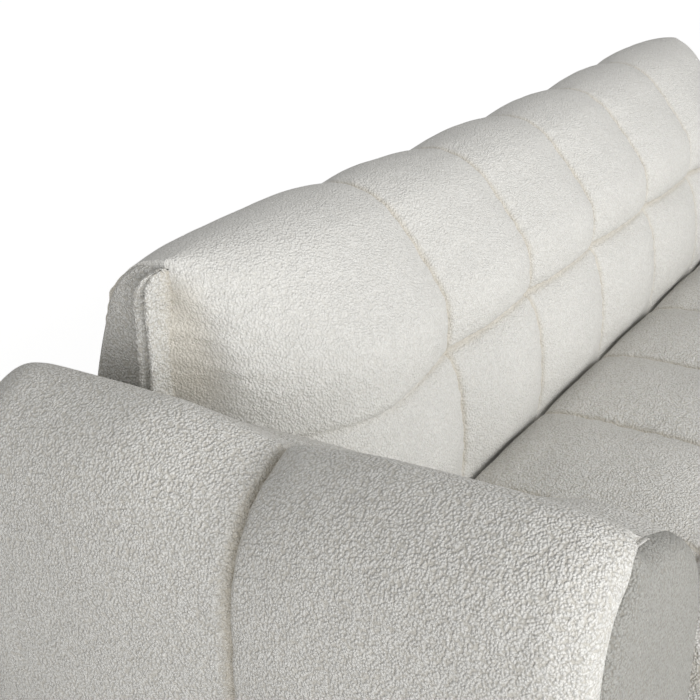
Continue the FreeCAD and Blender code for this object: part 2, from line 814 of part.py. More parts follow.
def bored(label, board, side, low_u, high_u):
    """A board with the clearance holes of the arm bolts."""
    holes = [arm_bolt_bar("%s_hole_%d" % (label, i), side, "Sizes.bolt_radius + Sizes.bolt_clearance",
                          low_u, high_u, share) for i, share in enumerate(BOLT_SHARES)]
    return named(cut(label, board, group(label + "_holes", holes)), label)


bolts = []
for word, side in SIDES:
    rail_x = "-" + HALF if side < 0 else HALF + " - Sizes.board"
    rail = box("end_rail_board_" + word, "Sizes.board", RUN, "Sizes.rail_height", rail_x, RUN_START, FRAME_FOOT)
    bored("seat_end_rail_" + word, rail, side, HALF + " - 2 * Sizes.board", HALF + " + 1")
    cleat_x = "-%s - Sizes.plywood" % HALF if side < 0 else HALF
    cleat = box("cleat_board_" + word, "Sizes.plywood", "Sizes.frame_rear_y - Sizes.board - Sizes.arm_front_y",
                "Sizes.rail_height", cleat_x, "Sizes.arm_front_y", FRAME_FOOT)
    bored("arm_mounting_board_" + word, cleat, side, HALF + " - 1", HALF + " + 2 * Sizes.plywood")
    for i, share in enumerate(BOLT_SHARES):
        shank = arm_bolt_bar("bolt_shank_%s_%d" % (word, i), side, "Sizes.bolt_radius",
                             HALF + " - Sizes.board", HALF + " + Sizes.plywood", share)
        head = arm_bolt_bar("bolt_head_%s_%d" % (word, i), side, "Sizes.bolt_head_radius",
                            HALF + " - Sizes.board - Sizes.bolt_head_height", HALF + " - Sizes.board", share, True)
        nut = arm_bolt_bar("bolt_nut_%s_%d" % (word, i), side, "Sizes.bolt_head_radius",
                           HALF + " + Sizes.plywood", HALF + " + Sizes.plywood + Sizes.bolt_head_height", share, True)
        bolt = document.addObject("Part::MultiFuse", "arm_bolt_%s_%d" % (word, i))
        bolt.Shapes = [shank, head, nut]
        bolts.append(bolt)
named(group("arm_bolts", bolts), "arm_bolts")

stretchers = [
    box("stretcher_%d" % i, "Sizes.board", RUN, "Sizes.rail_height - Sizes.board",
        "%s * Sizes.rib_x - Sizes.board / 2" % sign, RUN_START, FRAME_FOOT)
    for i, sign in enumerate(("-1", "1"))
]
named(group("seat_stretchers", stretchers), "seat_stretchers")


def corner_block(label, side, toward_front):
    """A glued triangular block in one inner corner of the seat frame."""
    reach = "%d * (Sizes.frame_half_width - Sizes.board" % side
    if toward_front:
        edge = "(Sizes.frame_front_y + Sizes.board"
        inward = "+ Sizes.corner_block)"
    else:
        edge = "(Sizes.frame_rear_y - Sizes.board"
        inward = "- Sizes.corner_block)"
    points = [
        (reach + ")", edge + ")"),
        (reach + " - Sizes.corner_block)", edge + ")"),
        (reach + ")", edge + inward),
    ]
    block = plate(label, "XY_Plane", points, "Sizes.rail_height - 2 * Sizes.board")
    place(block, along_z="%s + (Sizes.rail_height - 2 * Sizes.board) / 2" % FRAME_FOOT)
    return block


blocks = [
    corner_block("corner_block_%s_%s" % (word, end), side, end == "front")
    for word, side in SIDES
    for end in ("front", "rear")
]
named(group("corner_blocks", blocks), "corner_blocks")

# Back frame: four plywood ribs with lightening holes, joined by three rails
PANEL_FACE = " - Sizes.outside_back_thickness)"
REAR_FACE = "(Sizes.back_rear_foot_y" + PANEL_FACE
RIB_OUTLINE = [
    ("Sizes.frame_rear_y", FRAME_FOOT),
    (REAR_FACE + " - Sizes.plywood", FRAME_FOOT),
    (REAR_FACE + " - Sizes.plywood", FRAME_FOOT + " + Sizes.back_bottom_rail_height"),
    (REAR_FACE, FRAME_FOOT + " + Sizes.back_bottom_rail_height"),
    (REAR_FACE, DECK),
    ("(Sizes.back_rear_low_y" + PANEL_FACE, "Sizes.back_rear_low_height"),
    ("(Sizes.back_rear_mid_y" + PANEL_FACE, "Sizes.back_rear_mid_height"),
    ("Sizes.rib_top_rear_y", "Sizes.rib_top_height"),
    ("Sizes.rib_top_front_y", "Sizes.rib_top_height"),
    ("Sizes.rib_front_y + Sizes.plywood", "Sizes.lumbar_rail_foot + Sizes.lumbar_rail_height"),
    ("Sizes.rib_front_y + Sizes.plywood", "Sizes.lumbar_rail_foot"),
    ("Sizes.rib_front_y", "Sizes.lumbar_rail_foot"),
    ("Sizes.rib_front_y", RAIL_TOP),
    ("Sizes.frame_rear_y", RAIL_TOP),
]
RIB_MIDDLE = "(Sizes.rib_front_y + Sizes.back_rear_low_y) / 2"
LOW_LEFT = RIB_MIDDLE + " - Sizes.rib_opening_width / 2"
LOW_RIGHT = RIB_MIDDLE + " + Sizes.rib_opening_width / 2"
HIGH_RIGHT = LOW_RIGHT + " - Sizes.rib_opening_lean"
CORNER = "Sizes.rib_opening_corner"
RIB_OPENING = [
    (LOW_LEFT + " + " + CORNER, "Sizes.rib_opening_foot"),
    (LOW_RIGHT + " - " + CORNER, "Sizes.rib_opening_foot"),
    (LOW_RIGHT, "Sizes.rib_opening_foot + " + CORNER),
    (HIGH_RIGHT, "Sizes.rib_opening_top - " + CORNER),
    (HIGH_RIGHT + " - " + CORNER, "Sizes.rib_opening_top"),
    (LOW_LEFT + " + " + CORNER, "Sizes.rib_opening_top"),
    (LOW_LEFT, "Sizes.rib_opening_top - " + CORNER),
    (LOW_LEFT, "Sizes.rib_opening_foot + " + CORNER),
]
back_ribs = []
for i, rib_place in enumerate(("-Sizes.rib_end_x", "-Sizes.rib_x", "Sizes.rib_x", "Sizes.rib_end_x"), start=1):
    rib = plate("back_rib_%d" % i, "YZ_Plane", RIB_OUTLINE, "Sizes.plywood", RIB_OPENING)
    place(rib, along_x=rib_place)
    back_ribs.append(rib)
named(group("back_ribs", back_ribs), "back_ribs")
RIB_HALF = "(Sizes.rib_end_x + Sizes.plywood / 2)"
named(box("back_top_rail", "2 * " + RIB_HALF, "Sizes.back_top_rail_rear_y - Sizes.rib_top_front_y", "Sizes.plywood",
          "-" + RIB_HALF, "Sizes.rib_top_front_y", "Sizes.rib_top_height"), "back_top_rail")
named(box("back_lumbar_rail", "2 * " + RIB_HALF, "Sizes.plywood", "Sizes.lumbar_rail_height",
          "-" + RIB_HALF, "Sizes.rib_front_y", "Sizes.lumbar_rail_foot"), "back_lumbar_rail")
named(box("back_bottom_rail", "2 * " + RIB_HALF, "Sizes.plywood", "Sizes.back_bottom_rail_height",
          "-" + RIB_HALF, REAR_FACE + " - Sizes.plywood", FRAME_FOOT), "back_bottom_rail")

# Elastic straps and the cloth over them
STEP = "(2 * %s - Sizes.strap_width - 2 * Sizes.board)" % HALF
long_count = int(size("long_strap_count"))
long_straps = [
    box("long_strap_%d" % i, "Sizes.strap_width", "Sizes.frame_rear_y - Sizes.frame_front_y",
        "Sizes.strap_thickness", "-%s + Sizes.board + %s * %d / %d" % (HALF, STEP, i, long_count - 1),
        "Sizes.frame_front_y", RAIL_TOP)
    for i in range(long_count)
]
named(group("seat_webbing_long", long_straps), "seat_webbing_long")
cross_count = int(size("cross_strap_count"))
cross_straps = [
    box("cross_strap_%d" % i, "2 * " + HALF, "Sizes.strap_width", "Sizes.strap_thickness", "-" + HALF,
        "%s + (%s - Sizes.strap_width) * (%d + 0.5) / %d" % (RUN_START, RUN, i, cross_count),
        RAIL_TOP + " + Sizes.strap_thickness")
    for i in range(cross_count)
]
named(group("seat_webbing_cross", cross_straps), "seat_webbing_cross")
back_count = int(size("back_strap_count"))
BACK_RUN = "(Sizes.lumbar_rail_foot - %s - Sizes.strap_width)" % DECK
back_straps = [
    box("back_strap_%d" % i, "2 * " + RIB_HALF, "Sizes.strap_thickness", "Sizes.strap_width", "-" + RIB_HALF,
        "Sizes.rib_front_y - Sizes.strap_thickness",
        "%s + %s * (%d + 0.5) / %d" % (DECK, BACK_RUN, i, back_count))
    for i in range(back_count)
]
named(group("back_webbing", back_straps), "back_webbing")
named(box("deck_cloth", "2 * " + HALF, "Sizes.frame_rear_y - Sizes.frame_front_y", "Sizes.cloth_thickness",
          "-" + HALF, "Sizes.frame_front_y", RAIL_TOP + " + 2 * Sizes.strap_thickness"), "deck_cloth")

# Front border under the seat's nose, turned round both corners as far as the arms
BORDER_HEIGHT = "Sizes.rail_height + 2 * Sizes.strap_thickness + Sizes.cloth_thickness"
border = [box("border_front", "2 * Sizes.seat_half_width", "Sizes.frame_front_y - Sizes.seat_nose_y", BORDER_HEIGHT,
              "-Sizes.seat_half_width", "Sizes.seat_nose_y", FRAME_FOOT)]
for word, start in (("left", "-Sizes.seat_half_width"), ("right", HALF)):
    border.append(box("border_" + word, "Sizes.seat_half_width - " + HALF, "Sizes.arm_front_y - Sizes.seat_nose_y",
                      BORDER_HEIGHT, start, "Sizes.seat_nose_y", FRAME_FOOT))
front_border = document.addObject("Part::MultiFuse", "front_border")
front_border.Shapes = border
named(front_border, "front_border")

# Legs on steel plates, under blocks in the frame
LEG_U = "(Sizes.arm_foot_u - Sizes.arm_skin - Sizes.arm_foam - Sizes.plywood - Sizes.leg_block / 2)"
CENTRE_FRONT_Y = RUN_START + " + Sizes.leg_block / 2"
CENTRE_REAR_Y = REAR_FACE + " - Sizes.plywood - Sizes.leg_block / 2"
LEGS = (
    ("leg_front_left", "-" + LEG_U, "Sizes.leg_front_y"),
    ("leg_front_centre", "0", CENTRE_FRONT_Y),
    ("leg_front_right", LEG_U, "Sizes.leg_front_y"),
    ("leg_rear_left", "-" + LEG_U, "Sizes.leg_rear_y"),
    ("leg_rear_centre", "0", CENTRE_REAR_Y),
    ("leg_rear_right", LEG_U, "Sizes.leg_rear_y"),
)


def tapered_leg(label, along_x, along_y):
    """A low block leg, narrower at the floor, standing on its glide."""
    leg = document.addObject("Part::Wedge", label)
    wide = "Sizes.leg_top / 2"
    narrow = "Sizes.leg_foot / 2"
    bind(leg, Xmin="-" + wide, Xmax=wide, Zmin="-" + wide, Zmax=wide, X2min="-" + narrow, X2max=narrow,
         Z2min="-" + narrow, Z2max=narrow, Ymin="0", Ymax="Sizes.leg_height - Sizes.glide_thickness")
    leg.Placement.Rotation = FreeCAD.Rotation(Vector(1, 0, 0), -90)
    place(leg, along_x, along_y, "Sizes.leg_height")
    return leg


plates = []
glides = []
leg_blocks = []
for label, along_x, along_y in LEGS:
    named(tapered_leg(label, along_x, along_y), label)
    half_plate = "Sizes.leg_plate_width / 2"
    plates.append(box(label + "_plate", "Sizes.leg_plate_width", "Sizes.leg_plate_width", "Sizes.leg_plate",
                      "%s - %s" % (along_x, half_plate), "%s - %s" % (along_y, half_plate), "Sizes.leg_height"))
    half_glide = "Sizes.glide_width / 2"
    glides.append(box(label + "_glide", "Sizes.glide_width", "Sizes.glide_width", "Sizes.glide_thickness",
                      "%s - %s" % (along_x, half_glide), "%s - %s" % (along_y, half_glide), "0"))
    half_block = "Sizes.leg_block / 2"
    leg_blocks.append(box(label + "_block", "Sizes.leg_block", "Sizes.leg_block", "Sizes.leg_block_height",
                          "%s - %s" % (along_x, half_block), "%s - %s" % (along_y, half_block), FRAME_FOOT))
named(group("leg_plates", plates), "leg_plates")
named(group("leg_glides", glides), "leg_glides")
named(group("leg_blocks", leg_blocks), "leg_blocks")

# Dust cloth under the frame, cut out round the leg plates
DUST_HALF = "(Sizes.arm_foot_u - Sizes.board)"
dust_panels = [
    box("dust_panel_middle", "2 * " + HALF, REAR_FACE + " - Sizes.frame_front_y", "Sizes.cloth_thickness",
        "-" + HALF, "Sizes.frame_front_y", FRAME_FOOT + " - Sizes.cloth_thickness"),
    box("dust_panel_wide", "2 * " + DUST_HALF, "Sizes.arm_rear_y - Sizes.arm_front_y - 2 * Sizes.board",
        "Sizes.cloth_thickness", "-" + DUST_HALF, "Sizes.arm_front_y + Sizes.board",
        FRAME_FOOT + " - Sizes.cloth_thickness"),
]
dust = document.addObject("Part::MultiFuse", "dust_sheet")
dust.Shapes = dust_panels
openings = [
    box(label + "_cut_out", "Sizes.leg_plate_width + 4", "Sizes.leg_plate_width + 4", "20",
        "%s - Sizes.leg_plate_width / 2 - 2" % along_x, "%s - Sizes.leg_plate_width / 2 - 2" % along_y,
        "Sizes.leg_height - 10")
    for label, along_x, along_y in LEGS
]
named(cut("dust_cover", dust, group("dust_cut_outs", openings)), "dust_cover")

document.recompute()

# Every object has to be sound before anything is written
for thing in document.Objects:
    if "Invalid" in thing.State or "Error" in thing.State:
        raise RuntimeError("%s failed: %s" % (thing.Label, thing.State))
for label, thing in nodes.items():
    if thing.Shape.isNull() or not thing.Shape.isValid():
        raise RuntimeError("%s has no valid shape" % label)
os.makedirs("parts", exist_ok=True)
for label, thing in nodes.items():
    thing.Shape.exportStep("parts/%s.step" % label)
print(len(nodes), "sub-parts")
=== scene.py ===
import json
import math

import bpy
import numpy as np
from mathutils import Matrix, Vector, noise


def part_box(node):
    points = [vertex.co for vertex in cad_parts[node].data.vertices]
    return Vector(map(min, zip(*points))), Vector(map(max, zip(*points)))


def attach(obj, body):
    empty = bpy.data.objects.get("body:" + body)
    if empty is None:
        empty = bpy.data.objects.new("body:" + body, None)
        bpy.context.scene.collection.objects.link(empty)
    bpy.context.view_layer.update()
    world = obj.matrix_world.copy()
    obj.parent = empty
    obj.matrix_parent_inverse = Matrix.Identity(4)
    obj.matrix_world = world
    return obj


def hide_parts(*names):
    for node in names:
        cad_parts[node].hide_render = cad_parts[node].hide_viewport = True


# A long boucle sofa seen over one arm: quilted back, channelled seat, fat arms, sewn corner flanges.
# Shapes are worked out in millimetres in the frame of the solids and turned into metres as meshes are made.
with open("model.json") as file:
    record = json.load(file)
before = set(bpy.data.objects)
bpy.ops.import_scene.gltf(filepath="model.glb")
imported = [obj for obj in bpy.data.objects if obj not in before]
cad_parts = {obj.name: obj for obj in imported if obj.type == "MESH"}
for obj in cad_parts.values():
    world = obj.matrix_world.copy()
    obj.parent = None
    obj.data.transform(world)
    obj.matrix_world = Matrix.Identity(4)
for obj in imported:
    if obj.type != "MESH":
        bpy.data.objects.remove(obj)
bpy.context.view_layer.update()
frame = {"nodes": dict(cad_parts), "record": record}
MM = 0.001


def node_box(name):
    """A node's lowest and highest corners in millimetres."""
    low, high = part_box(name)
    return np.array(low) / MM, np.array(high) / MM


# Places taken from the solids
seat_low, seat_high = node_box("seat_cover")
back_high = node_box("back_cover")[1]
puff_low, puff_high = node_box("arm_front_puff_right")
rear_puff_high = node_box("arm_rear_puff_right")[1]
pad_low, pad_high = node_box("inside_arm_pad_right")
rear_panel_low, rear_panel_high = node_box("outside_back_panel")
border_low, border_high = node_box("front_border")
DECK = seat_low[2]
SEAT_HALF = seat_high[0]
BACK_HALF = back_high[0]
ARM_FOOT = puff_low[2]
ARM_FRONT = puff_low[1]
ARM_SEAM = puff_high[1]
ARM_REAR = rear_puff_high[1]
ARM_JOINT = puff_low[0]
PAD_INNER = SEAT_HALF + 0.5
PAD_FOOT = pad_low[2]
PAD_REAR = pad_high[1]
SIDES = (("left", -1), ("right", 1))

# Quilting: the back and the seat have their seams at the same places along the sofa
COLUMN = 300
SEAMS = tuple(COLUMN * i for i in range(-2, 3))
LAST_SEAM = SEAMS[-1]
COLUMN_STATIONS = 60
PANEL_POWER = 2.5
PINCH_WIDTH = 5
TINT_WIDTH = 6


# Curves and grids
def spline(points, count):
    """Evenly spaced places on a smooth curve through the points given."""
    points = np.asarray(points, float)
    gaps = np.linalg.norm(np.diff(points, axis=0), axis=1)
    knots = np.concatenate(([0], np.cumsum(gaps)))
    slopes = np.diff(points, axis=0) / gaps[:, None]
    tangents = np.empty_like(points)
    tangents[0] = slopes[0]
    tangents[-1] = slopes[-1]
    before, after = gaps[:-1, None], gaps[1:, None]
    tangents[1:-1] = (slopes[:-1] * after + slopes[1:] * before) / (before + after)
    fine = np.linspace(0, knots[-1], 14 * len(points))
    i = np.clip(np.searchsorted(knots, fine, side="right") - 1, 0, len(gaps) - 1)
    t = ((fine - knots[i]) / gaps[i])[:, None]
    step = gaps[i][:, None]
    curve = (points[i] * (2 * t**3 - 3 * t**2 + 1) + tangents[i] * step * (t**3 - 2 * t**2 + t)
             + points[i + 1] * (3 * t**2 - 2 * t**3) + tangents[i + 1] * step * (t**3 - t**2))
    run = np.concatenate(([0], np.cumsum(np.linalg.norm(np.diff(curve, axis=0), axis=1))))
    even = np.linspace(0, run[-1], count)
    return np.stack([np.interp(even, run, curve[:, k]) for k in range(curve.shape[1])], axis=1)


def crowned(table, crown):
    """Control points of a section: seam places moved out by the crown."""
    table = np.asarray(table, float)
    return table[:, :2] + crown * table[:, 2:4]


def panel(distance, half_width):
    """How full a quilted panel is at a distance from its seam."""
    share = np.clip(distance / half_width, 0, 1)
    return 1 - (1 - share) ** PANEL_POWER


def seam_pull(distance, width):
    """1 on a seam, falling softly over a width."""
    return np.exp(-((distance / width) ** 2))


def ramp(value, start, length):
    """0 up to a start, then evenly up to 1 over a length."""
    return np.clip((value - start) / length, 0, 1)


def smooth_step(share):
    """A share from 0 to 1 that starts and ends softly."""
    return share * share * (3 - 2 * share)


def stations(start, end, count):
    """Places between two seams, closer together near them."""
    t = (1 - np.cos(np.linspace(0, math.pi, count))) / 2
    t = 0.6 * t + 0.4 * np.linspace(0, 1, count)
    return start + (end - start) * t


def column_stations(half, end_count):
    """Places along a quilted cover, closer together near its seams."""
    end = stations(LAST_SEAM, half, end_count)
    middle = [stations(a, b, COLUMN_STATIONS)[:-1] for a, b in zip(SEAMS, SEAMS[1:])]
    return np.concatenate([-end[::-1][:-1], *middle, end])


def to_nearest_seam(xs):
    """How far each place along a cover is from a seam."""
    return np.min(np.abs(xs[:, None] - np.array(SEAMS)), axis=1)[:, None]


def run_along(skin):
    """How far each place of a skin lies along its own section."""
    steps = np.linalg.norm(np.diff(skin, axis=1), axis=2)
    return np.concatenate((np.zeros((len(skin), 1)), np.cumsum(steps, axis=1)), axis=1)


def right_of(path):
    """Unit directions to the right of an open path in its plane."""
    ahead = np.gradient(path, axis=0)
    ahead /= np.linalg.norm(ahead, axis=1, keepdims=True)
    return np.stack([ahead[:, 1], -ahead[:, 0]], axis=1)


def skin_normals(skin, axis, core):
    """Unit normals of a skin, turned away from a core line that runs along one axis."""
    outward = skin - np.array(core, float)
    outward[..., axis] = 0
    normals = np.cross(np.gradient(skin, axis=0), np.gradient(skin, axis=1))
    normals /= np.maximum(np.linalg.norm(normals, axis=2, keepdims=True), 1e-6)
    flip = np.sign(np.sum(normals * outward, axis=2, keepdims=True))
    return normals * np.where(flip == 0, 1, flip)


def wobble(x, y, z):
    """Smooth noise between -1 and 1 at one place."""
    return noise.noise(Vector((x, y, z)))


def noise_field(grid, scale, seed):
    """Smooth noise at each place of a grid, with one scale or one along each axis."""
    flat = grid.reshape(-1, 3) / np.asarray(scale, float) + seed * 17.3
    return np.array([wobble(*place) for place in flat]).reshape(grid.shape[:-1])


def swells(grid, seed, broad, fine):
    """The unevenness of stuffed fabric: broad swells with finer ones on them, each a height and a scale."""
    return broad[0] * noise_field(grid, broad[1], seed) + fine[0] * noise_field(grid, fine[1], seed + 1)


# Meshes
def make_object(name, vertices, faces):
    mesh = bpy.data.meshes.new(name)
    mesh.from_pydata((np.asarray(vertices) * MM).tolist(), [], faces)
    mesh.validate()
    mesh.polygons.foreach_set("use_smooth", [True] * len(mesh.polygons))
    piece = bpy.data.objects.new(name, mesh)
    bpy.context.scene.collection.objects.link(piece)
    return piece


def face_outward(piece):
    """Turns the faces of a closed piece outward."""
    bpy.context.view_layer.objects.active = piece
    bpy.ops.object.select_all(action="DESELECT")
    piece.select_set(True)
    bpy.ops.object.mode_set(mode="EDIT")
    bpy.ops.mesh.select_all(action="SELECT")
    bpy.ops.mesh.normals_make_consistent(inside=False)
    bpy.ops.object.mode_set(mode="OBJECT")


def ring_piece(name, rings):
    """A skin over a row of rings with the same number of points, closed by a flat face at each end."""
    rings = np.asarray(rings)
    rows, count = rings.shape[:2]
    last = (rows - 1) * count
    faces = []
    for base in range(0, last, count):
        for j in range(count):
            k = (j + 1) % count
            faces.append((base + j, base + k, base + count + k, base + count + j))
    faces.append(tuple(range(count)))
    faces.append(tuple(range(last, rows * count)))
    piece = make_object(name, rings.reshape(-1, 3), faces)
    for polygon in piece.data.polygons[-2:]:
        polygon.use_smooth = False
    sharp = piece.data.attributes.new("sharp_edge", "BOOLEAN", "EDGE")
    ends = [(max(e.vertices) < count or min(e.vertices) >= last) for e in piece.data.edges]
    sharp.data.foreach_set("value", ends)
    face_outward(piece)
    return piece


def fabric_layer(piece, name, values):
    """Keeps a value for each vertex that the fabric's colour reads, such as how deep in a seam it lies."""
    layer = piece.data.attributes.new(name, "FLOAT", "POINT")
    layer.data.foreach_set("value", np.asarray(values, float).ravel())


# Node materials
def new_material(name):
    material = bpy.data.materials.new(name)
    material.use_nodes = True
    tree = material.node_tree
    tree.nodes.clear()
    output = tree.nodes.new("ShaderNodeOutputMaterial")
    shader = tree.nodes.new("ShaderNodeBsdfPrincipled")
    tree.links.new(shader.outputs[0], output.inputs[0])
    return material, tree, shader


def add(tree, kind, **settings):
    node = tree.nodes.new(kind)
    for key, value in settings.items():
        setattr(node, key, value)
    return node


def object_place(tree):
    return add(tree, "ShaderNodeTexCoord").outputs["Object"]


def math_node(tree, operation, first, second):
    node = add(tree, "ShaderNodeMath", operation=operation)
    for socket, value in zip(node.inputs, (first, second)):
        if isinstance(value, (int, float)):
            socket.default_value = value
        else:
            tree.links.new(value, socket)
    return node.outputs[0]


def weighted_sum(tree, *parts):
    """Adds up values, each times its weight."""
    total = None
    for value, weight in parts:
        part = math_node(tree, "MULTIPLY", value, weight)
        total = part if total is None else math_node(tree, "ADD", total, part)
    return total


def mapped(tree, value, low, high, to_low, to_high):
    node = add(tree, "ShaderNodeMapRange")
    tree.links.new(value, node.inputs["Value"])
    for name, number in (("From Min", low), ("From Max", high), ("To Min", to_low), ("To Max", to_high)):
        node.inputs[name].default_value = number
    return node.outputs[0]


def mix_colour(tree, factor, first, second, blend="MIX"):
    node = add(tree, "ShaderNodeMix", data_type="RGBA", blend_type=blend)
    for socket, value in ((node.inputs[0], factor), (node.inputs[6], first), (node.inputs[7], second)):
        if isinstance(value, (int, float)):
            socket.default_value = value
        elif isinstance(value, tuple):
            socket.default_value = (*value, 1)
        else:
            tree.links.new(value, socket)
    return node.outputs[2]


def noise_node(tree, vector, scale, detail=2, distortion=0.0, output=0):
    node = add(tree, "ShaderNodeTexNoise")
    node.inputs["Scale"].default_value = scale
    node.inputs["Detail"].default_value = detail
    node.inputs["Distortion"].default_value = distortion
    tree.links.new(vector, node.inputs["Vector"])
    return node.outputs[output]


def cell_node(tree, vector, scale, output):
    node = add(tree, "ShaderNodeTexVoronoi", feature="F1")
    node.inputs["Scale"].default_value = scale
    tree.links.new(vector, node.inputs["Vector"])
    return node.outputs[output]


def bumped(tree, shader, height, strength, distance):
    """Raises a surface by a height, in metres at full strength."""
    bump = add(tree, "ShaderNodeBump")
    bump.inputs["Strength"].default_value = strength
    bump.inputs["Distance"].default_value = distance
    tree.links.new(height, bump.inputs["Height"])
    tree.links.new(bump.outputs[0], shader.inputs["Normal"])


# The boucle's colours: yarn, painted shade in the pits between nubs, a warmer seam colour that is partly the
# seams' own tone and partly painted shade in their valleys, and a grey for painted shade on the arms' front
# panels
CREAM = (0.80, 0.79, 0.757)
SHADE = (0.56, 0.535, 0.48)
SEAM_TINT_AND_SHADE = (0.66, 0.60, 0.49)
PAINTED_SHADE_GREY = (0.52, 0.52, 0.51)
NUB_PITCH = 0.0034
SEAM_TINT_AND_SHADE_SHARE = 0.55


def boucle(name, pit_shade, depth):
    """Looped yarn: packed nubs with painted shade in the gaps between them, curls on the nubs and fine
    fibres.
    """
    material, tree, shader = new_material(name)
    place = object_place(tree)
    shifted = add(tree, "ShaderNodeVectorMath", operation="MULTIPLY_ADD")
    tree.links.new(noise_node(tree, place, 0.45 / NUB_PITCH, 1, output="Color"), shifted.inputs[0])
    shifted.inputs[1].default_value = (NUB_PITCH, NUB_PITCH, NUB_PITCH)
    tree.links.new(place, shifted.inputs[2])
    warped = shifted.outputs[0]
    nub = mapped(tree, cell_node(tree, warped, 1 / NUB_PITCH, "Distance"), 0.05, 0.8, 1.0, 0.0)
    curl = noise_node(tree, warped, 0.8 / NUB_PITCH, 4, 0.3)
    lump = noise_node(tree, place, 0.16 / NUB_PITCH, 2)
    fibre = noise_node(tree, place, 2.2 / NUB_PITCH, 3)
    height = weighted_sum(tree, (nub, 0.75), (curl, 0.3), (fibre, 0.3), (lump, 0.9))
    gaps = weighted_sum(tree, (nub, 0.6), (curl, 0.8))
    # Colour: painted shade in the gaps between nubs, single yarns, broad patches, and the warmer seam colour,
    # partly the seams' own tone and partly painted shade in their valleys
    colour = mix_colour(tree, mapped(tree, gaps, 0.42, 0.74, pit_shade, 0.0), CREAM, SHADE)
    grey = add(tree, "ShaderNodeRGBToBW")
    tree.links.new(cell_node(tree, warped, 0.5 / NUB_PITCH, "Color"), grey.inputs[0])
    single = mapped(tree, grey.outputs[0], 0.2, 0.8, 0.97, 1.02)
    broad = mapped(tree, noise_node(tree, place, 7, 3), 0.3, 0.7, 0.975, 1.02)
    level = math_node(tree, "MULTIPLY", single, broad)
    combine = add(tree, "ShaderNodeCombineColor")
    for socket in combine.inputs:
        tree.links.new(level, socket)
    colour = mix_colour(tree, 1.0, colour, combine.outputs[0], "MULTIPLY")
    # The seam layer mixes in a warmer, darker seam colour: partly the sewn lines' own tone, partly painted
    # shade in the seams' valleys
    seam = add(tree, "ShaderNodeAttribute", attribute_name="seam").outputs["Fac"]
    colour = mix_colour(tree, math_node(tree, "MULTIPLY", seam, SEAM_TINT_AND_SHADE_SHARE), colour, SEAM_TINT_AND_SHADE)
    # Painted shade: the shade layer multiplies the colour by a grey, darkening the arms' front panels as if
    # out of the light
    shade = add(tree, "ShaderNodeAttribute", attribute_name="shade").outputs["Fac"]
    colour = mix_colour(tree, shade, colour, PAINTED_SHADE_GREY, "MULTIPLY")
    tree.links.new(colour, shader.inputs["Base Color"])
    shader.inputs["Roughness"].default_value = 0.95
    shader.inputs["Specular IOR Level"].default_value = 0.15
    shader.inputs["Sheen Weight"].default_value = 0.10
    shader.inputs["Sheen Roughness"].default_value = 0.45
    bumped(tree, shader, height, 1.0, depth)
    return material


def wood(name, light, dark, ring=28, gloss=0.5, axis=0):
    """Grain lines along one axis with pores and a little stain."""
    material, tree, shader = new_material(name)
    stretch = add(tree, "ShaderNodeMapping")
    scale = [ring, ring, ring]
    scale[axis] = ring * 0.06
    stretch.inputs["Scale"].default_value = scale
    tree.links.new(object_place(tree), stretch.inputs["Vector"])
    lines = noise_node(tree, stretch.outputs[0], 1.6, 6, 1.2)
    pores = noise_node(tree, stretch.outputs[0], 14, 3)
    grain = weighted_sum(tree, (lines, 0.75), (pores, 0.25))
    colour = mix_colour(tree, mapped(tree, grain, 0.35, 0.65, 0, 1), light, dark)
    tree.links.new(colour, shader.inputs["Base Color"])
    tree.links.new(mapped(tree, pores, 0.3, 0.7, gloss, gloss + 0.2), shader.inputs["Roughness"])
    bumped(tree, shader, grain, 0.3, 0.0005)
    return material


def woven(name, light, dark, pitch):
    """A plain weave: two crossed sets of threads."""
    material, tree, shader = new_material(name)
    place = object_place(tree)
    waves = []
    for direction in ("X", "Y"):
        wave = add(tree, "ShaderNodeTexWave", wave_type="BANDS", bands_direction=direction)
        wave.inputs["Scale"].default_value = 0.31 / pitch
        wave.inputs["Distortion"].default_value = 0.6
        tree.links.new(place, wave.inputs["Vector"])
        waves.append(wave.outputs["Fac"])
    threads = math_node(tree, "MAXIMUM", *waves)
    tone = weighted_sum(tree, (threads, 0.6), (noise_node(tree, place, 60, 4), 0.4))
    tree.links.new(mix_colour(tree, tone, dark, light), shader.inputs["Base Color"])
    shader.inputs["Roughness"].default_value = 0.9
    shader.inputs["Sheen Weight"].default_value = 0.1
    bumped(tree, shader, threads, 0.5, 0.0004)
    return material


def foam_material():
    """Cut foam: fine open cells and a yellowed skin."""
    material, tree, shader = new_material("cut_foam")
    place = object_place(tree)
    patches = noise_node(tree, place, 9, 3)
    colour = mix_colour(tree, patches, (0.86, 0.80, 0.60), (0.80, 0.72, 0.48))
    tree.links.new(colour, shader.inputs["Base Color"])
    shader.inputs["Roughness"].default_value = 0.95
    bumped(tree, shader, cell_node(tree, place, 700, "Distance"), 0.4, 0.0006)
    return material


def steel_material():
    """Zinc-plated steel with rolling marks and dull patches."""
    material, tree, shader = new_material("zinc_steel")
    patches = noise_node(tree, object_place(tree), 55, 4, 0.5)
    colour = mix_colour(tree, patches, (0.62, 0.63, 0.64), (0.50, 0.51, 0.52))
    tree.links.new(colour, shader.inputs["Base Color"])
    tree.links.new(mapped(tree, patches, 0.3, 0.7, 0.28, 0.5), shader.inputs["Roughness"])
    shader.inputs["Metallic"].default_value = 1.0
    return material


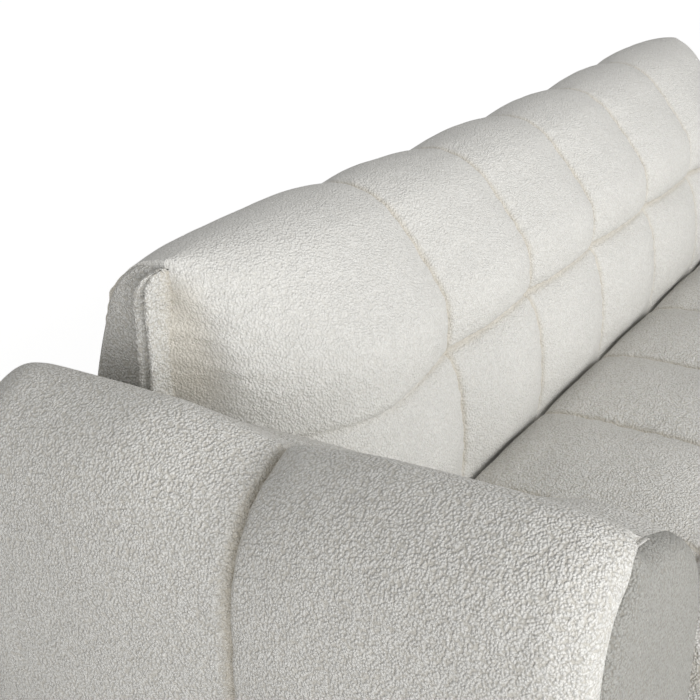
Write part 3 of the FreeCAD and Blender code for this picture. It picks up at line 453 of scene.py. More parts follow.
MATERIALS = {
    "boucle": boucle("boucle_cream", 0.85, 0.0034),
    "foam": foam_material(),
    "strap": woven("elastic_strap", (0.34, 0.33, 0.30), (0.12, 0.12, 0.11), 0.0022),
    "under_cloth": woven("under_cloth", (0.10, 0.10, 0.10), (0.03, 0.03, 0.03), 0.0011),
    "timber": wood("pine_rail", (0.72, 0.55, 0.35), (0.52, 0.36, 0.20), 30, 0.55),
    "plywood": wood("birch_plywood", (0.78, 0.65, 0.46), (0.60, 0.46, 0.29), 24, 0.6, 2),
    "leg_wood": wood("dark_beech", (0.075, 0.050, 0.036), (0.030, 0.020, 0.015), 60, 0.35, 2),
    "felt": woven("felt_glide", (0.26, 0.22, 0.18), (0.12, 0.10, 0.08), 0.0016),
    "steel": steel_material(),
}
# A copy of the same cloth for the back, with less painted shade in its pits for the brighter light on the
# back, and shallower bumps
LESS_SHADED_CLOTH = boucle("boucle_cream_less_shaded", 0.35, 0.0022)


def finish_piece(piece, slot, *nodes, fill=None, cloth=None):
    """Gives a new piece its material, fixes it to the root body and hides the solids that it stands for."""
    piece.data.materials.append(cloth or MATERIALS[slot])
    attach(piece, "root")
    if nodes:
        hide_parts(*nodes)


# Back cushion. Each row: y and z of the section at a seam, then how far a full panel stands out in y and z.
MIDDLE_SEAM = 630
TOP_SEAM = 868
BACK_LOWER = (
    (46, DECK, 0, 0), (46, 330, 0, 0), (46, 404, -3, 0), (44, 449, -20, 0), (45, 500, -27, 0),
    (50, 545, -27, 0), (61, 596, -20, 0), (71, 617, -13, 0), (80, MIDDLE_SEAM, -8, 0),
)
BACK_UPPER = (
    (80, MIDDLE_SEAM, -8, 0), (77, 643, -20, 3), (77, 668, -28, 6), (84, 713, -28, 8), (111, 756, -24, 12),
    (144, 798, -19, 15), (189, 846, -12, 15), (242, 869, 0, 13), (300, 861, 5, 12), (345, 825, 8, 9),
    (368, 785, 10, 7), (375, 757, 6, 2),
)
BACK_INSIDE = ((352, 757), (362, 730), (405, 520), (426, DECK + 12), (418, DECK), (236, DECK))
# The line that normals point away from, the points in the two rows, and how many of the last lie at the rear
BACK_CORE = (0, 250, 560)
LOWER_COUNT = 80
UPPER_COUNT = 136
UPPER_END = LOWER_COUNT + UPPER_COUNT - 1
REAR_ROWS = 30
BACK_END_STATIONS = 58
# How full the back stays at each seam, and how much fuller its end columns are
SEAM_SOFTNESS = {-600: 0.0, -300: 0.10, 0: 0.0, 300: 0.10, 600: 0.0}
END_FULLNESS = 0.16
# The front turns to the rear over this length at each end, by this share of the way to BACK_END_Y
WRAP = 226
WRAP_DEPTH = 0.97
BACK_END_Y = 266
# How far the top droops at its ends, how far it sinks between the end columns, and how far the middle seam
# is filled out towards the arms
END_DROP = 7
CENTRE_DROP = 10
MIDDLE_FILL = 19
FILL_WIDTH = 26
# What lies in front of this y is the back's front
FRONT_LIMIT = 200
# The middle seam fades from here on over this length, and by this share of its depth
FADE_START = LAST_SEAM + 30
FADE_LENGTH = 230
SEAM_FADE = 0.85
# How deep the sewn lines are pinched and how high their puckers stand, also beside the corner flange
BACK_PINCH = 4.2
BACK_PUCKER = 2.4
PUCKER_WIDTH = 30
CORNER_PINCH = 7.0
CORNER_PUCKER = 4.2
# Heights: where the columns' seams begin to be sewn down, and the lowest and highest place beside the flange
SEWN_FROM = 400
CORNER_LOW = 640
CORNER_HIGH = 858
CREASE_HIGH = 822


def end_share(x):
    """How far along the turned end of the back a place is."""
    return ramp(abs(x), BACK_HALF - WRAP, WRAP)


def middle_fade(x):
    """How shallow the middle seam is: it fades in the end columns, towards the arms."""
    return smooth_step(ramp(abs(x), FADE_START, FADE_LENGTH))


def back_crown(x):
    """How full the back is at a distance along it."""
    distances = [abs(x - seam) for seam in SEAMS]
    soft = SEAM_SOFTNESS[SEAMS[int(np.argmin(distances))]]
    crown = soft + (1 - soft) * panel(min(distances), COLUMN / 2)
    if abs(x) > LAST_SEAM:
        crown *= 1 + END_FULLNESS * panel(abs(x) - LAST_SEAM, 200)
    return float(crown * (1 - 0.5 * end_share(x) ** 3))


def back_ring(x):
    """The back's section across X."""
    crown = back_crown(x)
    share = end_share(x)
    lower = spline(crowned(BACK_LOWER, crown), LOWER_COUNT)
    upper = spline(crowned(BACK_UPPER, crown), UPPER_COUNT)
    ring = np.concatenate((lower, upper[1:], np.array(BACK_INSIDE)))
    y, z = ring[:, 0], ring[:, 1]
    y = y - MIDDLE_FILL * middle_fade(x) * seam_pull(z - MIDDLE_SEAM, FILL_WIDTH) * (y < FRONT_LIMIT)
    turned = WRAP_DEPTH * (1 - math.sqrt(1 - share * share))
    y = np.where(y < BACK_END_Y, y + turned * (BACK_END_Y - y), y)
    rise = np.clip((z - MIDDLE_SEAM) / (TOP_SEAM - MIDDLE_SEAM), 0, 1.2)
    centre = smooth_step(ramp(LAST_SEAM + 40 - abs(x), 0, COLUMN))
    z = z - (END_DROP * share ** 2 + CENTRE_DROP * centre) * rise
    return np.stack([np.full_like(y, x), y, z], axis=1)


def back_front_y(u, z):
    """Where the back's front surface is, at a distance from the middle and a height."""
    ring = back_ring(u)[:UPPER_END - REAR_ROWS]
    order = np.argsort(ring[:, 2])
    return np.interp(z, ring[order, 2], ring[order, 1])


def build_back():
    """One quilted skin with two rows of panels, rolled over the top."""
    xs = column_stations(BACK_HALF, BACK_END_STATIONS)
    rings = np.stack([back_ring(x) for x in xs])
    skin = rings[:, :UPPER_END]
    height = skin[..., 2]
    run = run_along(skin)
    to_column = to_nearest_seam(xs)
    to_middle = np.abs(run - run[:, LOWER_COUNT - 1][:, None])
    to_end = (BACK_HALF - np.abs(xs))[:, None]
    # Where the columns' seams are sewn down, how deep the middle seam is, and the corner at the flange
    high = ramp(height, SEWN_FROM, 40)
    sewn_in = 1 - SEAM_FADE * middle_fade(xs)[:, None]
    corner = ramp(height, CORNER_LOW, 60) * ramp(CORNER_HIGH - height, 0, 30)
    # Broad swells, then the pinch of each sewn line and the puckers that run away from it
    broad = swells(skin, 1, (1.5, 110), (0.7, 42))
    pinch = seam_pull(to_column, PINCH_WIDTH) * high + seam_pull(to_middle, PINCH_WIDTH) * sewn_in
    pucker = seam_pull(to_column, PUCKER_WIDTH) * noise_field(skin, (60, 22, 13), 3) * high
    pucker += seam_pull(to_middle, PUCKER_WIDTH) * noise_field(skin, (13, 50, 50), 4) * sewn_in
    corner_pucker = seam_pull(to_end, 66) * noise_field(skin, (44, 44, 13), 9) * corner
    corner_pinch = seam_pull(to_end - 6, 11) * corner * ramp(CREASE_HIGH - height, 0, 40)
    relief = (broad - BACK_PINCH * pinch + BACK_PUCKER * pucker
              + CORNER_PUCKER * corner_pucker - CORNER_PINCH * corner_pinch)
    rings[:, :UPPER_END] = skin + skin_normals(skin, 0, BACK_CORE) * relief[..., None]
    piece = ring_piece("back_cushion_skin", rings)
    # The seam layer: the sewn lines and the crease beside the corner flange get the warmer, darker seam
    # colour, partly their own tone and partly painted shade in their valleys
    seam = np.zeros(rings.shape[:2])
    sewn = np.maximum(seam_pull(to_column, TINT_WIDTH) * high, seam_pull(to_middle, TINT_WIDTH) * sewn_in)
    seam[:, :UPPER_END] = np.maximum(sewn, 0.9 * seam_pull(to_end, 14) * corner)
    fabric_layer(piece, "seam", seam)
    # The back wears the copy of the cloth with less painted shade in its pits
    finish_piece(piece, "boucle", "back_cover", fill=0.85, cloth=LESS_SHADED_CLOTH)


# Seat, in rows like those of the back: the top as far as the cross seam, and the nose in front of it
SEAT_REAR = (
    (45, DECK, 0, 0), (45, 330, 0, 0), (44, 388, 0, 1), (33, 408, 0, 6), (4, 417, 0, 15), (-55, 421, 0, 24),
    (-150, 422, 0, 27), (-245, 419, 0, 24), (-305, 414, 0, 14), (-340, 408, 0, 4),
)
SEAT_NOSE = (
    (-340, 408, 0, 4), (-360, 417, 0, 12), (-395, 423, -1, 17), (-428, 410, -5, 16), (-450, 387, -9, 11),
    (-464, 350, -12, 4), (-468, 305, -12, 0), (-466, 268, -8, 0), (-465, DECK, -3, 0),
)
SEAT_CORE = (0, -200, 330)
SEAT_REAR_COUNT = 66
SEAT_NOSE_COUNT = 46
SEAT_END_STATIONS = 36
# The edges at both ends are rounded down over this length, by this depth
SEAT_RIM = 14
SEAT_RIM_DROP = 6
# How full the seat is at its ends, and the lengths over which it fills from the last seam and from the end
SEAT_END_FULLNESS = 0.35
FROM_LAST_SEAM = 120
FROM_SEAT_END = 110
# How deep the sewn lines are pinched, how high their puckers stand and how far they run
SEAT_PINCH = 5.0
SEAT_PUCKER = 2.6
SEAT_PUCKER_WIDTH = 32


def seat_crown(x):
    """How full the seat is at a distance along it: its ends stay fuller than its seams."""
    if abs(x) > LAST_SEAM:
        rim = SEAT_END_FULLNESS + (1 - SEAT_END_FULLNESS) * panel(SEAT_HALF - abs(x), FROM_SEAT_END)
        return float(min(panel(abs(x) - LAST_SEAM, FROM_LAST_SEAM), rim))
    return float(panel(min(abs(x - seam) for seam in SEAMS), COLUMN / 2))


def seat_ring(x):
    """The seat's section across X."""
    crown = seat_crown(x)
    rear = spline(crowned(SEAT_REAR, crown), SEAT_REAR_COUNT)
    nose = spline(crowned(SEAT_NOSE, crown), SEAT_NOSE_COUNT)
    ring = np.concatenate((rear, nose[1:]))
    rim = ramp(abs(x), SEAT_HALF - SEAT_RIM, SEAT_RIM)
    lowered = ring[:, 1] - SEAT_RIM_DROP * rim ** 2 * ramp(ring[:, 1], 300, 100)
    return np.stack([np.full(len(ring), x), ring[:, 0], lowered], axis=1)


def build_seat():
    """One quilted bench whose columns meet those of the back."""
    xs = column_stations(SEAT_HALF, SEAT_END_STATIONS)
    skin = np.stack([seat_ring(x) for x in xs])
    run = run_along(skin)
    to_column = to_nearest_seam(xs)
    to_row = np.abs(run - run[:, SEAT_REAR_COUNT - 1][:, None])
    shown = ramp(skin[..., 2], 250, 60)
    broad = swells(skin, 5, (1.6, 100), (0.8, 40))
    pinch = seam_pull(to_column, PINCH_WIDTH) + seam_pull(to_row, PINCH_WIDTH)
    pucker = seam_pull(to_column, SEAT_PUCKER_WIDTH) * noise_field(skin, (60, 14, 14), 7)
    pucker += seam_pull(to_row, SEAT_PUCKER_WIDTH) * noise_field(skin, (14, 60, 60), 8)
    relief = (broad - SEAT_PINCH * pinch + SEAT_PUCKER * pucker) * shown
    piece = ring_piece("seat_bench_skin", skin + skin_normals(skin, 0, SEAT_CORE) * relief[..., None])
    # The seam layer: the sewn lines get the warmer, darker seam colour, partly their own tone and partly
    # painted shade in their valleys
    fabric_layer(piece, "seam", np.maximum(seam_pull(to_column, TINT_WIDTH), seam_pull(to_row, TINT_WIDTH)))
    finish_piece(piece, "boucle", "seat_cover", fill=0.8)


# Arms. Each row: distance from the middle and height at a seam, then how far the full arm stands out.
ARM_SLAB = (
    (ARM_JOINT, 667, 0, 10), (1078, 690, 14, 30), (1115, 708, 34, 42), (1153, 697, 38, 41),
    (1190, 677, 37, 33), (1220, 642, 30, 24), (1240, 592, 21, 12), (1245, 500, 20, 4), (1241, 340, 21, 0),
    (1227, 180, 15, 0), (1212, ARM_FOOT, 5, 0),
)
ARM_PAD = (
    (ARM_JOINT, 667, 0, 10), (972, 633, 0, 9), (922, 604, 0, 7), (886, 576, 0, 6), (861, 543, 0, 4),
    (848.5, 503, 0, 0), (PAD_INNER, 455, 0, 0), (PAD_INNER, 340, 0, 0), (PAD_INNER, PAD_FOOT, 0, 0),
)
# Each puff, from the middle seam on: the share of its length where it is full, how roundly it gets there,
# how full it is, where it begins to fall, how far it falls and how roundly
FRONT_PUFF = (0.8, 0.52, 1.0, 0.8, 0.25, 1.5)
REAR_PUFF = (0.4, 1.15, 0.96, 0.74, 1.75, 2.2)
SLAB_COUNT = 96
SLAB_CORE = (1120, 0, 400)
SLAB_CLEARANCE = 0.4
# Where the ridge is, how far beyond it the side is fully tucked, the tuck's share at the ridge, and the strip
# beside the joint that isn't tucked
ARM_RIDGE = 1112
RIDGE_WIDTH = 55
RIDGE_TUCK = 0.3
JOINT_WIDTH = 30
# The front edge: how far its rim stands forward, and over which length and how far the side turns in.
# Then how deep the seam between the puffs is drawn in.
RIM = 24
TURN = 54
TUCK = 44
SEAM_DIP = 9
DIP_WIDTH = 7
# The rim's own rings: how far forward of the arm, as a share of the rim, and how much further in
RIM_EDGE = ((1.0, 2.5), (0.97, 5.5), (0.7, 7.5), (0.3, 8), (0.0, 8))
PUFF_PUCKER = 3.0
PUFF_PUCKER_WIDTH = 55
PUFF_TINT_WIDTH = 9


def arm_fullness(y):
    """How full the arm is along its length: empty at the middle seam, full in each puff."""
    if y <= ARM_SEAM:
        share, puff = (ARM_SEAM - y) / (ARM_SEAM - ARM_FRONT), FRONT_PUFF
    else:
        share, puff = (y - ARM_SEAM) / (ARM_REAR - ARM_SEAM), REAR_PUFF
    full_at, roundness, fullness, falls_at, fall, fall_roundness = puff
    rise = math.sin(math.pi / 2 * min(share / full_at, 1)) ** roundness
    return fullness * rise - fall * max((share - falls_at) / (1 - falls_at), 0) ** fall_roundness


def tuck(points, depth, dip=0.0):
    """A section of the arm drawn in: its side by a depth, less at the ridge, and all of it by a dip."""
    beyond_ridge = ramp(points[:, 0], ARM_RIDGE, RIDGE_WIDTH)
    side = np.where(np.arange(len(points)) > len(points) // 3, 1, beyond_ridge)
    amount = depth * (RIDGE_TUCK + (1 - RIDGE_TUCK) * side) + dip
    amount = amount * ramp(points[:, 0], ARM_JOINT, JOINT_WIDTH)
    return points + right_of(points) * amount[:, None]


def slab_ring(y, rim_share=None, inset=0.0):
    """The arm's outer part across Y. A rim share makes it a ring of the rim at the arm's front."""
    outer = spline(crowned(ARM_SLAB, arm_fullness(max(y, ARM_FRONT))), SLAB_COUNT)
    if rim_share is None:
        share = ramp(ARM_FRONT - RIM + TURN - y, 0, TURN)
        forward = max(ARM_FRONT - y, 0)
    else:
        share = 1
        forward = RIM * rim_share
    turned = TUCK * (1 - math.sqrt(1 - share * share)) + inset
    outer = tuck(outer, turned, SEAM_DIP * float(seam_pull(y - ARM_SEAM, DIP_WIDTH)))
    outside = ramp(outer[:, 0], ARM_RIDGE - 24, 42) + (np.arange(SLAB_COUNT) > SLAB_COUNT // 2)
    flat_y = max(y, ARM_FRONT)
    depth = flat_y - forward * np.clip(outside, 0, 1)
    inner = np.array([(ARM_JOINT + SLAB_CLEARANCE, z) for z in (ARM_FOOT, 300, 500)])
    ring = np.concatenate((outer, inner))
    depth = np.concatenate((depth, np.full(len(inner), flat_y)))
    return np.stack([ring[:, 0], depth, ring[:, 1]], axis=1)


def build_puff(word, side, name, start, end, count, seed):
    """One puff of the arm's outer part, with the rim at its front where it is the front one."""
    ys = stations(start, end, count)
    rings = [slab_ring(y) for y in ys]
    if start < ARM_FRONT:
        rim = [slab_ring(ARM_FRONT, share, inset) for share, inset in reversed(RIM_EDGE)]
        rings = rim + rings
        ys = np.concatenate((np.full(len(rim), start), ys))
    rings = np.stack(rings)
    skin = rings[:, :SLAB_COUNT]
    to_seam = np.abs(ys - ARM_SEAM)[:, None]
    shown = ramp(skin[..., 2], ARM_FOOT, 60) * ramp(skin[..., 0], ARM_JOINT, 25)
    ends = ramp(np.minimum(np.abs(ys - start), np.abs(ys - end)), 0, 12)[:, None]
    place = skin * np.array([side, 1, 1])
    broad = swells(place, seed, (2.0, 120), (0.9, 45))
    pucker = PUFF_PUCKER * seam_pull(to_seam, PUFF_PUCKER_WIDTH) * noise_field(place, (20, 80, 20), seed + 2)
    relief = (broad + pucker) * shown * ends
    rings[:, :SLAB_COUNT] = skin + skin_normals(skin, 1, SLAB_CORE) * relief[..., None]
    rings[..., 0] *= side
    piece = ring_piece("arm_%s_skin_%s" % (name, word), rings)
    # The seam layer: the deep seam between the puffs gets the warmer, darker seam colour, partly its own tone
    # and partly painted shade in its valley
    fabric_layer(piece, "seam", np.broadcast_to(seam_pull(to_seam, PUFF_TINT_WIDTH), rings.shape[:2]))
    finish_piece(piece, "boucle", "arm_%s_%s" % (name, word), fill=0.9)


# The inside pad: how far it swells up near the front, and where. It stays full as far as PAD_FULL_Y.
PAD_BULGE = 22
PAD_BULGE_X = 935
PAD_BULGE_Y = -305
PAD_FULL_Y = 180
PAD_CLEARANCE = 0.6
PAD_STATIONS = 70
PAD_COUNT = 64
PAD_CORE = (960, 0, 420)


def pad_bulge(u, y):
    """The inside pad swells upward behind the ridge near the front."""
    return PAD_BULGE * seam_pull(y - PAD_BULGE_Y, 80) * seam_pull(u - PAD_BULGE_X, 62)


def pad_line(share):
    """The pad's upper line across, at a share of the arm's length."""
    y = ARM_FRONT + (PAD_REAR - ARM_FRONT) * share
    return spline(crowned(ARM_PAD, arm_fullness(min(y, PAD_FULL_Y))), PAD_COUNT)


def build_pad(word, side):
    """The inside of the arm, butted against the curved front of the back."""
    shares = stations(0, 1, PAD_STATIONS)
    rear = np.array([min(back_front_y(u, z) - PAD_CLEARANCE, PAD_REAR) for u, z in pad_line(0)])
    joint_x = ARM_JOINT - SLAB_CLEARANCE
    rings = []
    for share in shares:
        line = pad_line(share)
        y = ARM_FRONT + (rear - ARM_FRONT) * share
        ring = np.stack([line[:, 0], y, line[:, 1] + pad_bulge(line[:, 0], y)], axis=1)
        closing = [(900, (2 * y[-1] + y[0]) / 3, PAD_FOOT), (joint_x, y[0], PAD_FOOT), (joint_x, y[0], 450)]
        rings.append(np.concatenate((ring, closing)))
    rings = np.stack(rings)
    skin = rings[:, :PAD_COUNT]
    shown = ramp(skin[..., 0], PAD_INNER, 12) * ramp(ARM_JOINT - skin[..., 0], 0, 12)
    fade = ramp(np.minimum(shares, 1 - shares), 0, 0.04)[:, None]
    relief = swells(skin, 31, (1.6, 100), (0.8, 40)) * shown * fade
    rings[:, :PAD_COUNT] = skin + skin_normals(skin, 1, PAD_CORE) * relief[..., None]
    rings[..., 0] *= side
    piece = ring_piece("inside_arm_skin_" + word, rings)
    finish_piece(piece, "boucle", "inside_arm_pad_" + word, fill=0.85)


# Flat padded panels. Each step: distance in from the edge, and the share of the thickness reached there.
PLATE_STEPS = ((1, 0.45), (3, 0.8), (7, 0.95), (14, 1.0))
PILLOW_STEPS = ((1, 0.22), (3, 0.42), (7, 0.62), (13, 0.79), (21, 0.91), (31, 1.0))
MIDDLE_STEPS = ((0.35, 1.03), (0.7, 1.06), (0.98, 1.07))
# The boxes that their rings shrink towards: lowest and highest corner
ARM_FRONT_CORE = ((960, 170), (1090, 520))
BACK_END_CORE = ((320, 300), (345, 780))
ARM_FRONT_THICKNESS = 31
BACK_END_THICKNESS = 8.4
# They stand this far off the solid behind them
PANEL_CLEARANCE = 0.3


def offset_outline(outline, depth):
    """A closed outline moved inward by a depth."""
    ahead = np.roll(outline, -1, axis=0) - np.roll(outline, 1, axis=0)
    length = np.linalg.norm(ahead, axis=1, keepdims=True)
    inward = np.stack([-ahead[:, 1], ahead[:, 0]], axis=1) / np.maximum(length, 1e-6)
    middle = outline.mean(axis=0)
    if np.sum(inward * (middle - outline)) < 0:
        inward = -inward
    return outline + inward * depth


def padded_plate(name, outline, place, thickness, steps, core):
    """A padded panel: its outline rises to a soft rim and a fuller middle, towards an inner box."""
    way = np.clip(outline, np.array(core[0]), np.array(core[1])) - outline
    room = np.linalg.norm(way, axis=1, keepdims=True)
    way = way / np.maximum(room, 1e-6)
    rings = [place(outline, 0)]
    for depth, rise in steps:
        rings.append(place(outline + way * np.minimum(depth, 0.8 * room), rise * thickness))
    start = np.minimum(steps[-1][0], 0.8 * room)
    for share, rise in MIDDLE_STEPS:
        rings.append(place(outline + way * (start + (room - start) * share), rise * thickness))
    return ring_piece(name, rings)


def arm_front_outline(crown):
    """The arm seen from the front: up its outer side, over the ridge and down its inner side."""
    slab = tuck(spline(crowned(ARM_SLAB, arm_fullness(ARM_FRONT)), 110), TUCK + 9)
    pad = spline(crowned(ARM_PAD, crown), 55)
    pad[:, 1] += pad_bulge(pad[:, 0], ARM_FRONT)
    sole_z = ARM_FOOT + 1
    sole = np.array([(PAD_INNER, 150), (PAD_INNER, sole_z), (950, sole_z), (1100, sole_z)])
    return np.concatenate((slab[::-1], pad[1:], sole))


def build_arm_front(word, side):
    """The plump front panel of an arm."""
    outline = offset_outline(arm_front_outline(0.9), 1)

    def place(points, rise):
        y = np.full(len(points), ARM_FRONT - PANEL_CLEARANCE - rise)
        return np.stack([side * points[:, 0], y, points[:, 1]], axis=1)

    piece = padded_plate("arm_front_skin_" + word, outline, place, ARM_FRONT_THICKNESS, PILLOW_STEPS,
                         ARM_FRONT_CORE)
    # Painted shade: the whole front panel is darkened by the shade layer
    fabric_layer(piece, "shade", np.ones(len(piece.data.vertices)))
    finish_piece(piece, "boucle", "arm_front_panel_" + word, fill=0.5)


# The lips round the front panel: each point across them and forward of the arm
ARM_LIPS = (
    (0, 0), (1.0, 4), (2.0, 14), (1.8, 20), (0.6, 22.5), (-1.0, 21), (-2.2, 14), (-2.6, 6), (-2.2, 0),
)


def build_arm_flange(word, side):
    """The flange of an arm: lips of cover sewn on round its front panel, open towards the front."""
    path = spline(arm_front_outline(0.5)[6:-4], 150)
    rings = []
    for i, (spot, out) in enumerate(zip(path, right_of(path))):
        wave = 0.8 * wobble(i * 0.11, side * 3.1, 0.4)
        inside = ramp(ARM_RIDGE - spot[0], 0, 40) * (spot[1] > 300)
        reach = (0.8 - 0.5 * inside) * (1 + 0.05 * wave)
        ring = []
        for across, forward in ARM_LIPS:
            where = spot + out * ((across - 1) * (1 - 0.4 * inside) + wave * forward / 10)
            ring.append((side * where[0], ARM_FRONT - PANEL_CLEARANCE - forward * reach, where[1]))
        rings.append(ring)
    piece = ring_piece("arm_flange_skin_" + word, rings)
    finish_piece(piece, "boucle", "arm_flange_" + word)


# Ends of the back: the outline of the end panel, in y and z
BACK_END_EDGE = (
    (268, DECK + 6), (268, 480), (268, 700), (268, 819), (271, 844), (282, 857), (301, 859), (324, 847),
    (345, 824), (358, 802), (367, 777), (378, 744), (395, 682), (424, 520), (437, 330), (440, DECK + 6),
)


def build_back_end(word, side):
    """The plain panel on one end of the back."""
    outline = offset_outline(spline(BACK_END_EDGE, 190), 1.5)

    def place(points, rise):
        x = side * (BACK_HALF + 0.4 + rise)
        return np.stack([np.full(len(points), x), points[:, 0], points[:, 1]], axis=1)

    piece = padded_plate("back_end_skin_" + word, outline, place, BACK_END_THICKNESS, PLATE_STEPS,
                         BACK_END_CORE)
    finish_piece(piece, "boucle", "back_end_panel_" + word, fill=0.4)


# The flange at the corner of the back: its angle to the end panel's outward direction, and its width
FLANGE_TURN = math.radians(25)
FLANGE_WIDTH = 41
# How far it runs past its solid below and above, the height over which it folds together at the top, and how
# far below its top it kinks
FLANGE_BELOW = 6
FLANGE_ABOVE = 16
FLANGE_FOLD = 31
FLANGE_KINK = 49
# Each lip: name, side of the seam, how far it gapes at its edge, how much wider it is
LIPS = (("rear", 1, 10.5, 5), ("front", -1, 2.4, -3))
# A lip's section: share of its width, and half its thickness there
LIP_PROFILE = (
    (-0.7, 1.6), (0, 2.4), (0.3, 2.6), (0.55, 2.8), (0.72, 3.6), (0.86, 4.4), (0.96, 3.2), (1.0, 0.0),
)


def build_back_flange(word, side):
    """Two lips of cover standing off the corner, gaping at the edge and folded together at the top."""
    low, high = node_box("back_flange_" + word)
    top = high[2] + FLANGE_ABOVE
    heights = np.linspace(low[2] - FLANGE_BELOW, top, 90)
    out = np.array([math.cos(FLANGE_TURN), math.sin(FLANGE_TURN)])
    across = np.array([-out[1], out[0]])
    root = np.array([BACK_HALF - 2, BACK_END_Y - 6])
    profile = LIP_PROFILE + tuple((share, -half) for share, half in LIP_PROFILE[-2::-1])
    for lip, sign, gape, extra in LIPS:
        rings = []
        for z in heights:
            fold = ramp(z, top - FLANGE_FOLD, FLANGE_FOLD)
            ragged = 2.6 * wobble(z * 0.13, side * 5.0, sign * 2.0)
            ragged += 1.6 * wobble(z * 0.42, side * 3.0, sign * 9.0)
            width = (FLANGE_WIDTH + extra + ragged) * (0.42 + 0.58 * math.sqrt(1 - fold ** 2))
            lean = 2.4 * wobble(z * 0.028, side * 4.0, 1.0) + 4.0 * seam_pull(z - top + FLANGE_KINK, 9)
            ring = []
            for share, half in profile:
                free = max(share, 0)
                uneven = 1 + 0.25 * wobble(z * 0.2, share * 2, sign * 7.0)
                spread = sign * (1.6 * (1 - fold) + gape * free ** 1.5 * (1 - 0.75 * fold)) + lean * free
                spread += half * (1 - 0.55 * fold) * uneven
                where = root + out * (width * share) + across * spread
                arch = fold * (5 * math.sin(math.pi * free) - 2)
                ring.append((side * where[0], where[1], z + arch))
            rings.append(ring)
        piece = ring_piece("back_flange_%s_%s" % (lip, word), rings)
        # The lips' roots, in the seam, get the warmer, darker seam colour, partly its own tone and partly
        # painted shade between the lips
        root_tint = [max(0, 1 - 2.4 * max(share, 0)) for share, _ in profile]
        fabric_layer(piece, "seam", np.tile(root_tint, len(heights)))
        if lip == "front":
            finish_piece(piece, "boucle", "back_flange_" + word)
        else:
            finish_piece(piece, "boucle")


# Rear of the back: points up the board, how far its padding stands out, and the fine mesh at its ends
REAR_COUNT = 70
REAR_PUFF_DEPTH = 4
REAR_RIM = 24


def build_rear_panel():
    """The outside back: one padded board with a soft rim."""
    half = rear_panel_high[0]
    foot, top = rear_panel_low[2], rear_panel_high[2]
    knots = ((446, foot), (446, DECK), (436, 380), (425, 520), (399.5, 660), (377.5, top - 2))
    line = spline(knots, REAR_COUNT)
    inner = ((line[-1, 0] - 16, top - 3), (408, 520), (429, DECK), (429, foot))
    flat_half = half - REAR_RIM
    xs = np.concatenate((np.linspace(-half, -flat_half, 7)[:-1], np.linspace(-flat_half, flat_half, 120),
                         np.linspace(flat_half, half, 7)[1:]))
    edge = ramp(np.minimum(line[:, 1] - foot, top - line[:, 1]), 0, 18)
    rings = []
    for x in xs:
        rim = ramp(half - abs(x), 0, 22)
        outer = line[:, 0] + REAR_PUFF_DEPTH * np.sqrt(rim * edge)
        rings.append([(x, y, z) for y, z in (*zip(outer, line[:, 1]), *inner)])
    rings = np.array(rings)
    swell = swells(rings[:, :REAR_COUNT], 41, (1.2, 140), (0.5, 50))
    rings[:, :REAR_COUNT, 1] += 0.8 * (swell - 1)
    piece = ring_piece("outside_back_skin", rings)
    finish_piece(piece, "boucle", "outside_back_panel", fill=0.4)


# Radius of the border's corners
BORDER_CORNER = 12


def build_border():
    """The upholstered strip under the seat's nose, turned round both corners."""
    front, rear = border_low[1], border_high[1]
    half = border_high[0]
    right = []
    for angle in np.radians(range(0, 91, 15)):
        inward, backward = 1 - math.cos(angle), 1 - math.sin(angle)
        right.append((half - BORDER_CORNER * inward, front + BORDER_CORNER * backward))
    left = [(-x, y) for x, y in reversed(right)]
    straight = [(x, front) for x in np.linspace(half - 40, -half + 40, 90)]
    path = np.array([(half, rear)] + right + straight + left + [(-half, rear)])
    low, high = border_low[2], border_high[2]
    # Each point: how far in from the front, height, and whether it follows the cloth's waves
    section = ((14, low, 0), (4, low, 1), (1, low + 3, 1), (0, low + 12, 1), (0, (low + high) / 2, 1),
               (0, high - 10, 1), (2, high - 2, 1), (6, high - 0.5, 1), (14, high - 0.5, 0))
    rings = []
    for i, (spot, inward) in enumerate(zip(path, right_of(path))):
        wave = 1.2 * wobble(i * 0.21, 0.3, 0.7)
        rings.append([(*(spot + inward * (depth + wave * waves)), z) for depth, z, waves in section])
    piece = ring_piece("front_border_skin", rings)
    finish_piece(piece, "boucle", "front_border", fill=0.4)


def dress_solids():
    """The solids that stay in view get their own materials."""
    slots = {entry["node"]: entry["material_slot"] for entry in frame["record"]["subparts"]}
    for name, thing in frame["nodes"].items():
        thing.data.materials.clear()
        thing.data.materials.append(MATERIALS[slots[name]])


# Studio: lamps by place, target, width, height and power
KEY = ((-0.6, -3.4, 1.9), (-0.2, 0.2, 0.6), 3.2, 2.0, 78)
SIDE = ((-4.0, -2.5, 0.9), (-1.1, -0.1, 0.5), 2.4, 1.8, 50)
AMBIENT = 0.48
FLOOR_GLOW = 0.56
FLOOR_SIZE = 24
FLOOR_COLOUR = (0.86, 0.86, 0.855, 1)
WHITE = (1, 1, 1, 1)
CAMERA_PLACE = (-2.150, -0.696, 1.365)
CAMERA_ANGLES = (67.025, 0.363, -58.686)
CAMERA_LENS = 63.04


def glowing(tree, kind, strength):
    """White light from a background or an emission node."""
    node = add(tree, kind)
    node.inputs[0].default_value = WHITE
    node.inputs[1].default_value = strength
    return node.outputs[0]


def show_white(tree, shown, lit):
    """Camera, mirror and glass rays see the plain white, all others the lit surface."""
    path = add(tree, "ShaderNodeLightPath")
    seen = math_node(tree, "MAXIMUM", path.outputs["Is Camera Ray"], path.outputs["Is Glossy Ray"])
    seen = math_node(tree, "MAXIMUM", seen, path.outputs["Is Transmission Ray"])
    mix = add(tree, "ShaderNodeMixShader")
    for socket, value in zip(mix.inputs, (seen, lit, shown)):
        tree.links.new(value, socket)
    return mix.outputs[0]


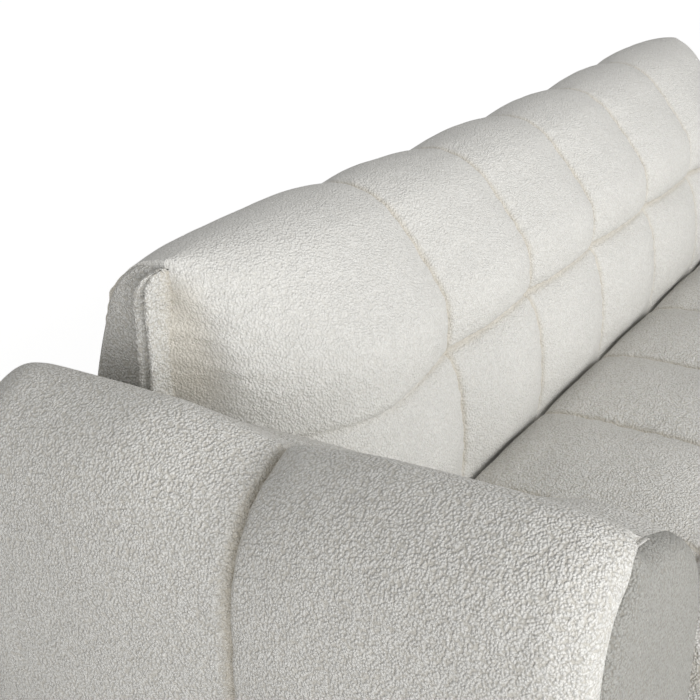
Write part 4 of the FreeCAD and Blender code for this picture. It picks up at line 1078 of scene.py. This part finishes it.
def build_world():
    world = bpy.data.worlds.new("studio")
    bpy.context.scene.world = world
    world.use_nodes = True
    tree = world.node_tree
    tree.nodes.clear()
    light = glowing(tree, "ShaderNodeBackground", AMBIENT)
    white = glowing(tree, "ShaderNodeBackground", 1)
    output = add(tree, "ShaderNodeOutputWorld")
    tree.links.new(show_white(tree, white, light), output.inputs[0])


def build_floor():
    """A pale floor that is white to the camera and keeps the sofa's shadow."""
    bpy.ops.mesh.primitive_plane_add(size=FLOOR_SIZE, location=(0, 0, 0))
    floor = bpy.context.object
    floor.name = "floor"
    material, tree, shader = new_material("pale_floor")
    shader.inputs["Base Color"].default_value = FLOOR_COLOUR
    shader.inputs["Roughness"].default_value = 0.8
    output = [node for node in tree.nodes if node.type == "OUTPUT_MATERIAL"][0]
    both = add(tree, "ShaderNodeAddShader")
    tree.links.new(shader.outputs[0], both.inputs[0])
    tree.links.new(glowing(tree, "ShaderNodeEmission", FLOOR_GLOW), both.inputs[1])
    tree.links.new(show_white(tree, both.outputs[0], shader.outputs[0]), output.inputs[0])
    floor.data.materials.append(material)


def soft_box(name, location, target, width, height, power):
    """An area lamp aimed at a target."""
    light = bpy.data.lights.new(name, "AREA")
    light.shape = "RECTANGLE"
    light.size = width
    light.size_y = height
    light.energy = power
    lamp = bpy.data.objects.new(name, light)
    lamp.location = location
    lamp.rotation_euler = (Vector(target) - Vector(location)).to_track_quat("-Z", "Y").to_euler()
    bpy.context.scene.collection.objects.link(lamp)


def build_camera():
    camera = bpy.data.objects.new("camera", bpy.data.cameras.new("camera"))
    camera.data.lens = CAMERA_LENS
    camera.data.sensor_width = 36
    camera.data.clip_end = 60
    camera.location = CAMERA_PLACE
    camera.rotation_euler = [math.radians(angle) for angle in CAMERA_ANGLES]
    bpy.context.scene.collection.objects.link(camera)
    bpy.context.scene.camera = camera


def build_studio():
    build_world()
    build_floor()
    soft_box("key", *KEY)
    soft_box("side", *SIDE)
    build_camera()
    bpy.context.scene.view_settings.view_transform = "Standard"


dress_solids()
build_back()
build_seat()
for word, side in SIDES:
    build_puff(word, side, "front_puff", ARM_FRONT - RIM, ARM_SEAM, count=84, seed=11)
    build_puff(word, side, "rear_puff", ARM_SEAM, ARM_REAR, count=68, seed=21)
    build_pad(word, side)
    build_arm_front(word, side)
    build_arm_flange(word, side)
    build_back_end(word, side)
    build_back_flange(word, side)
build_rear_panel()
build_border()
build_studio()
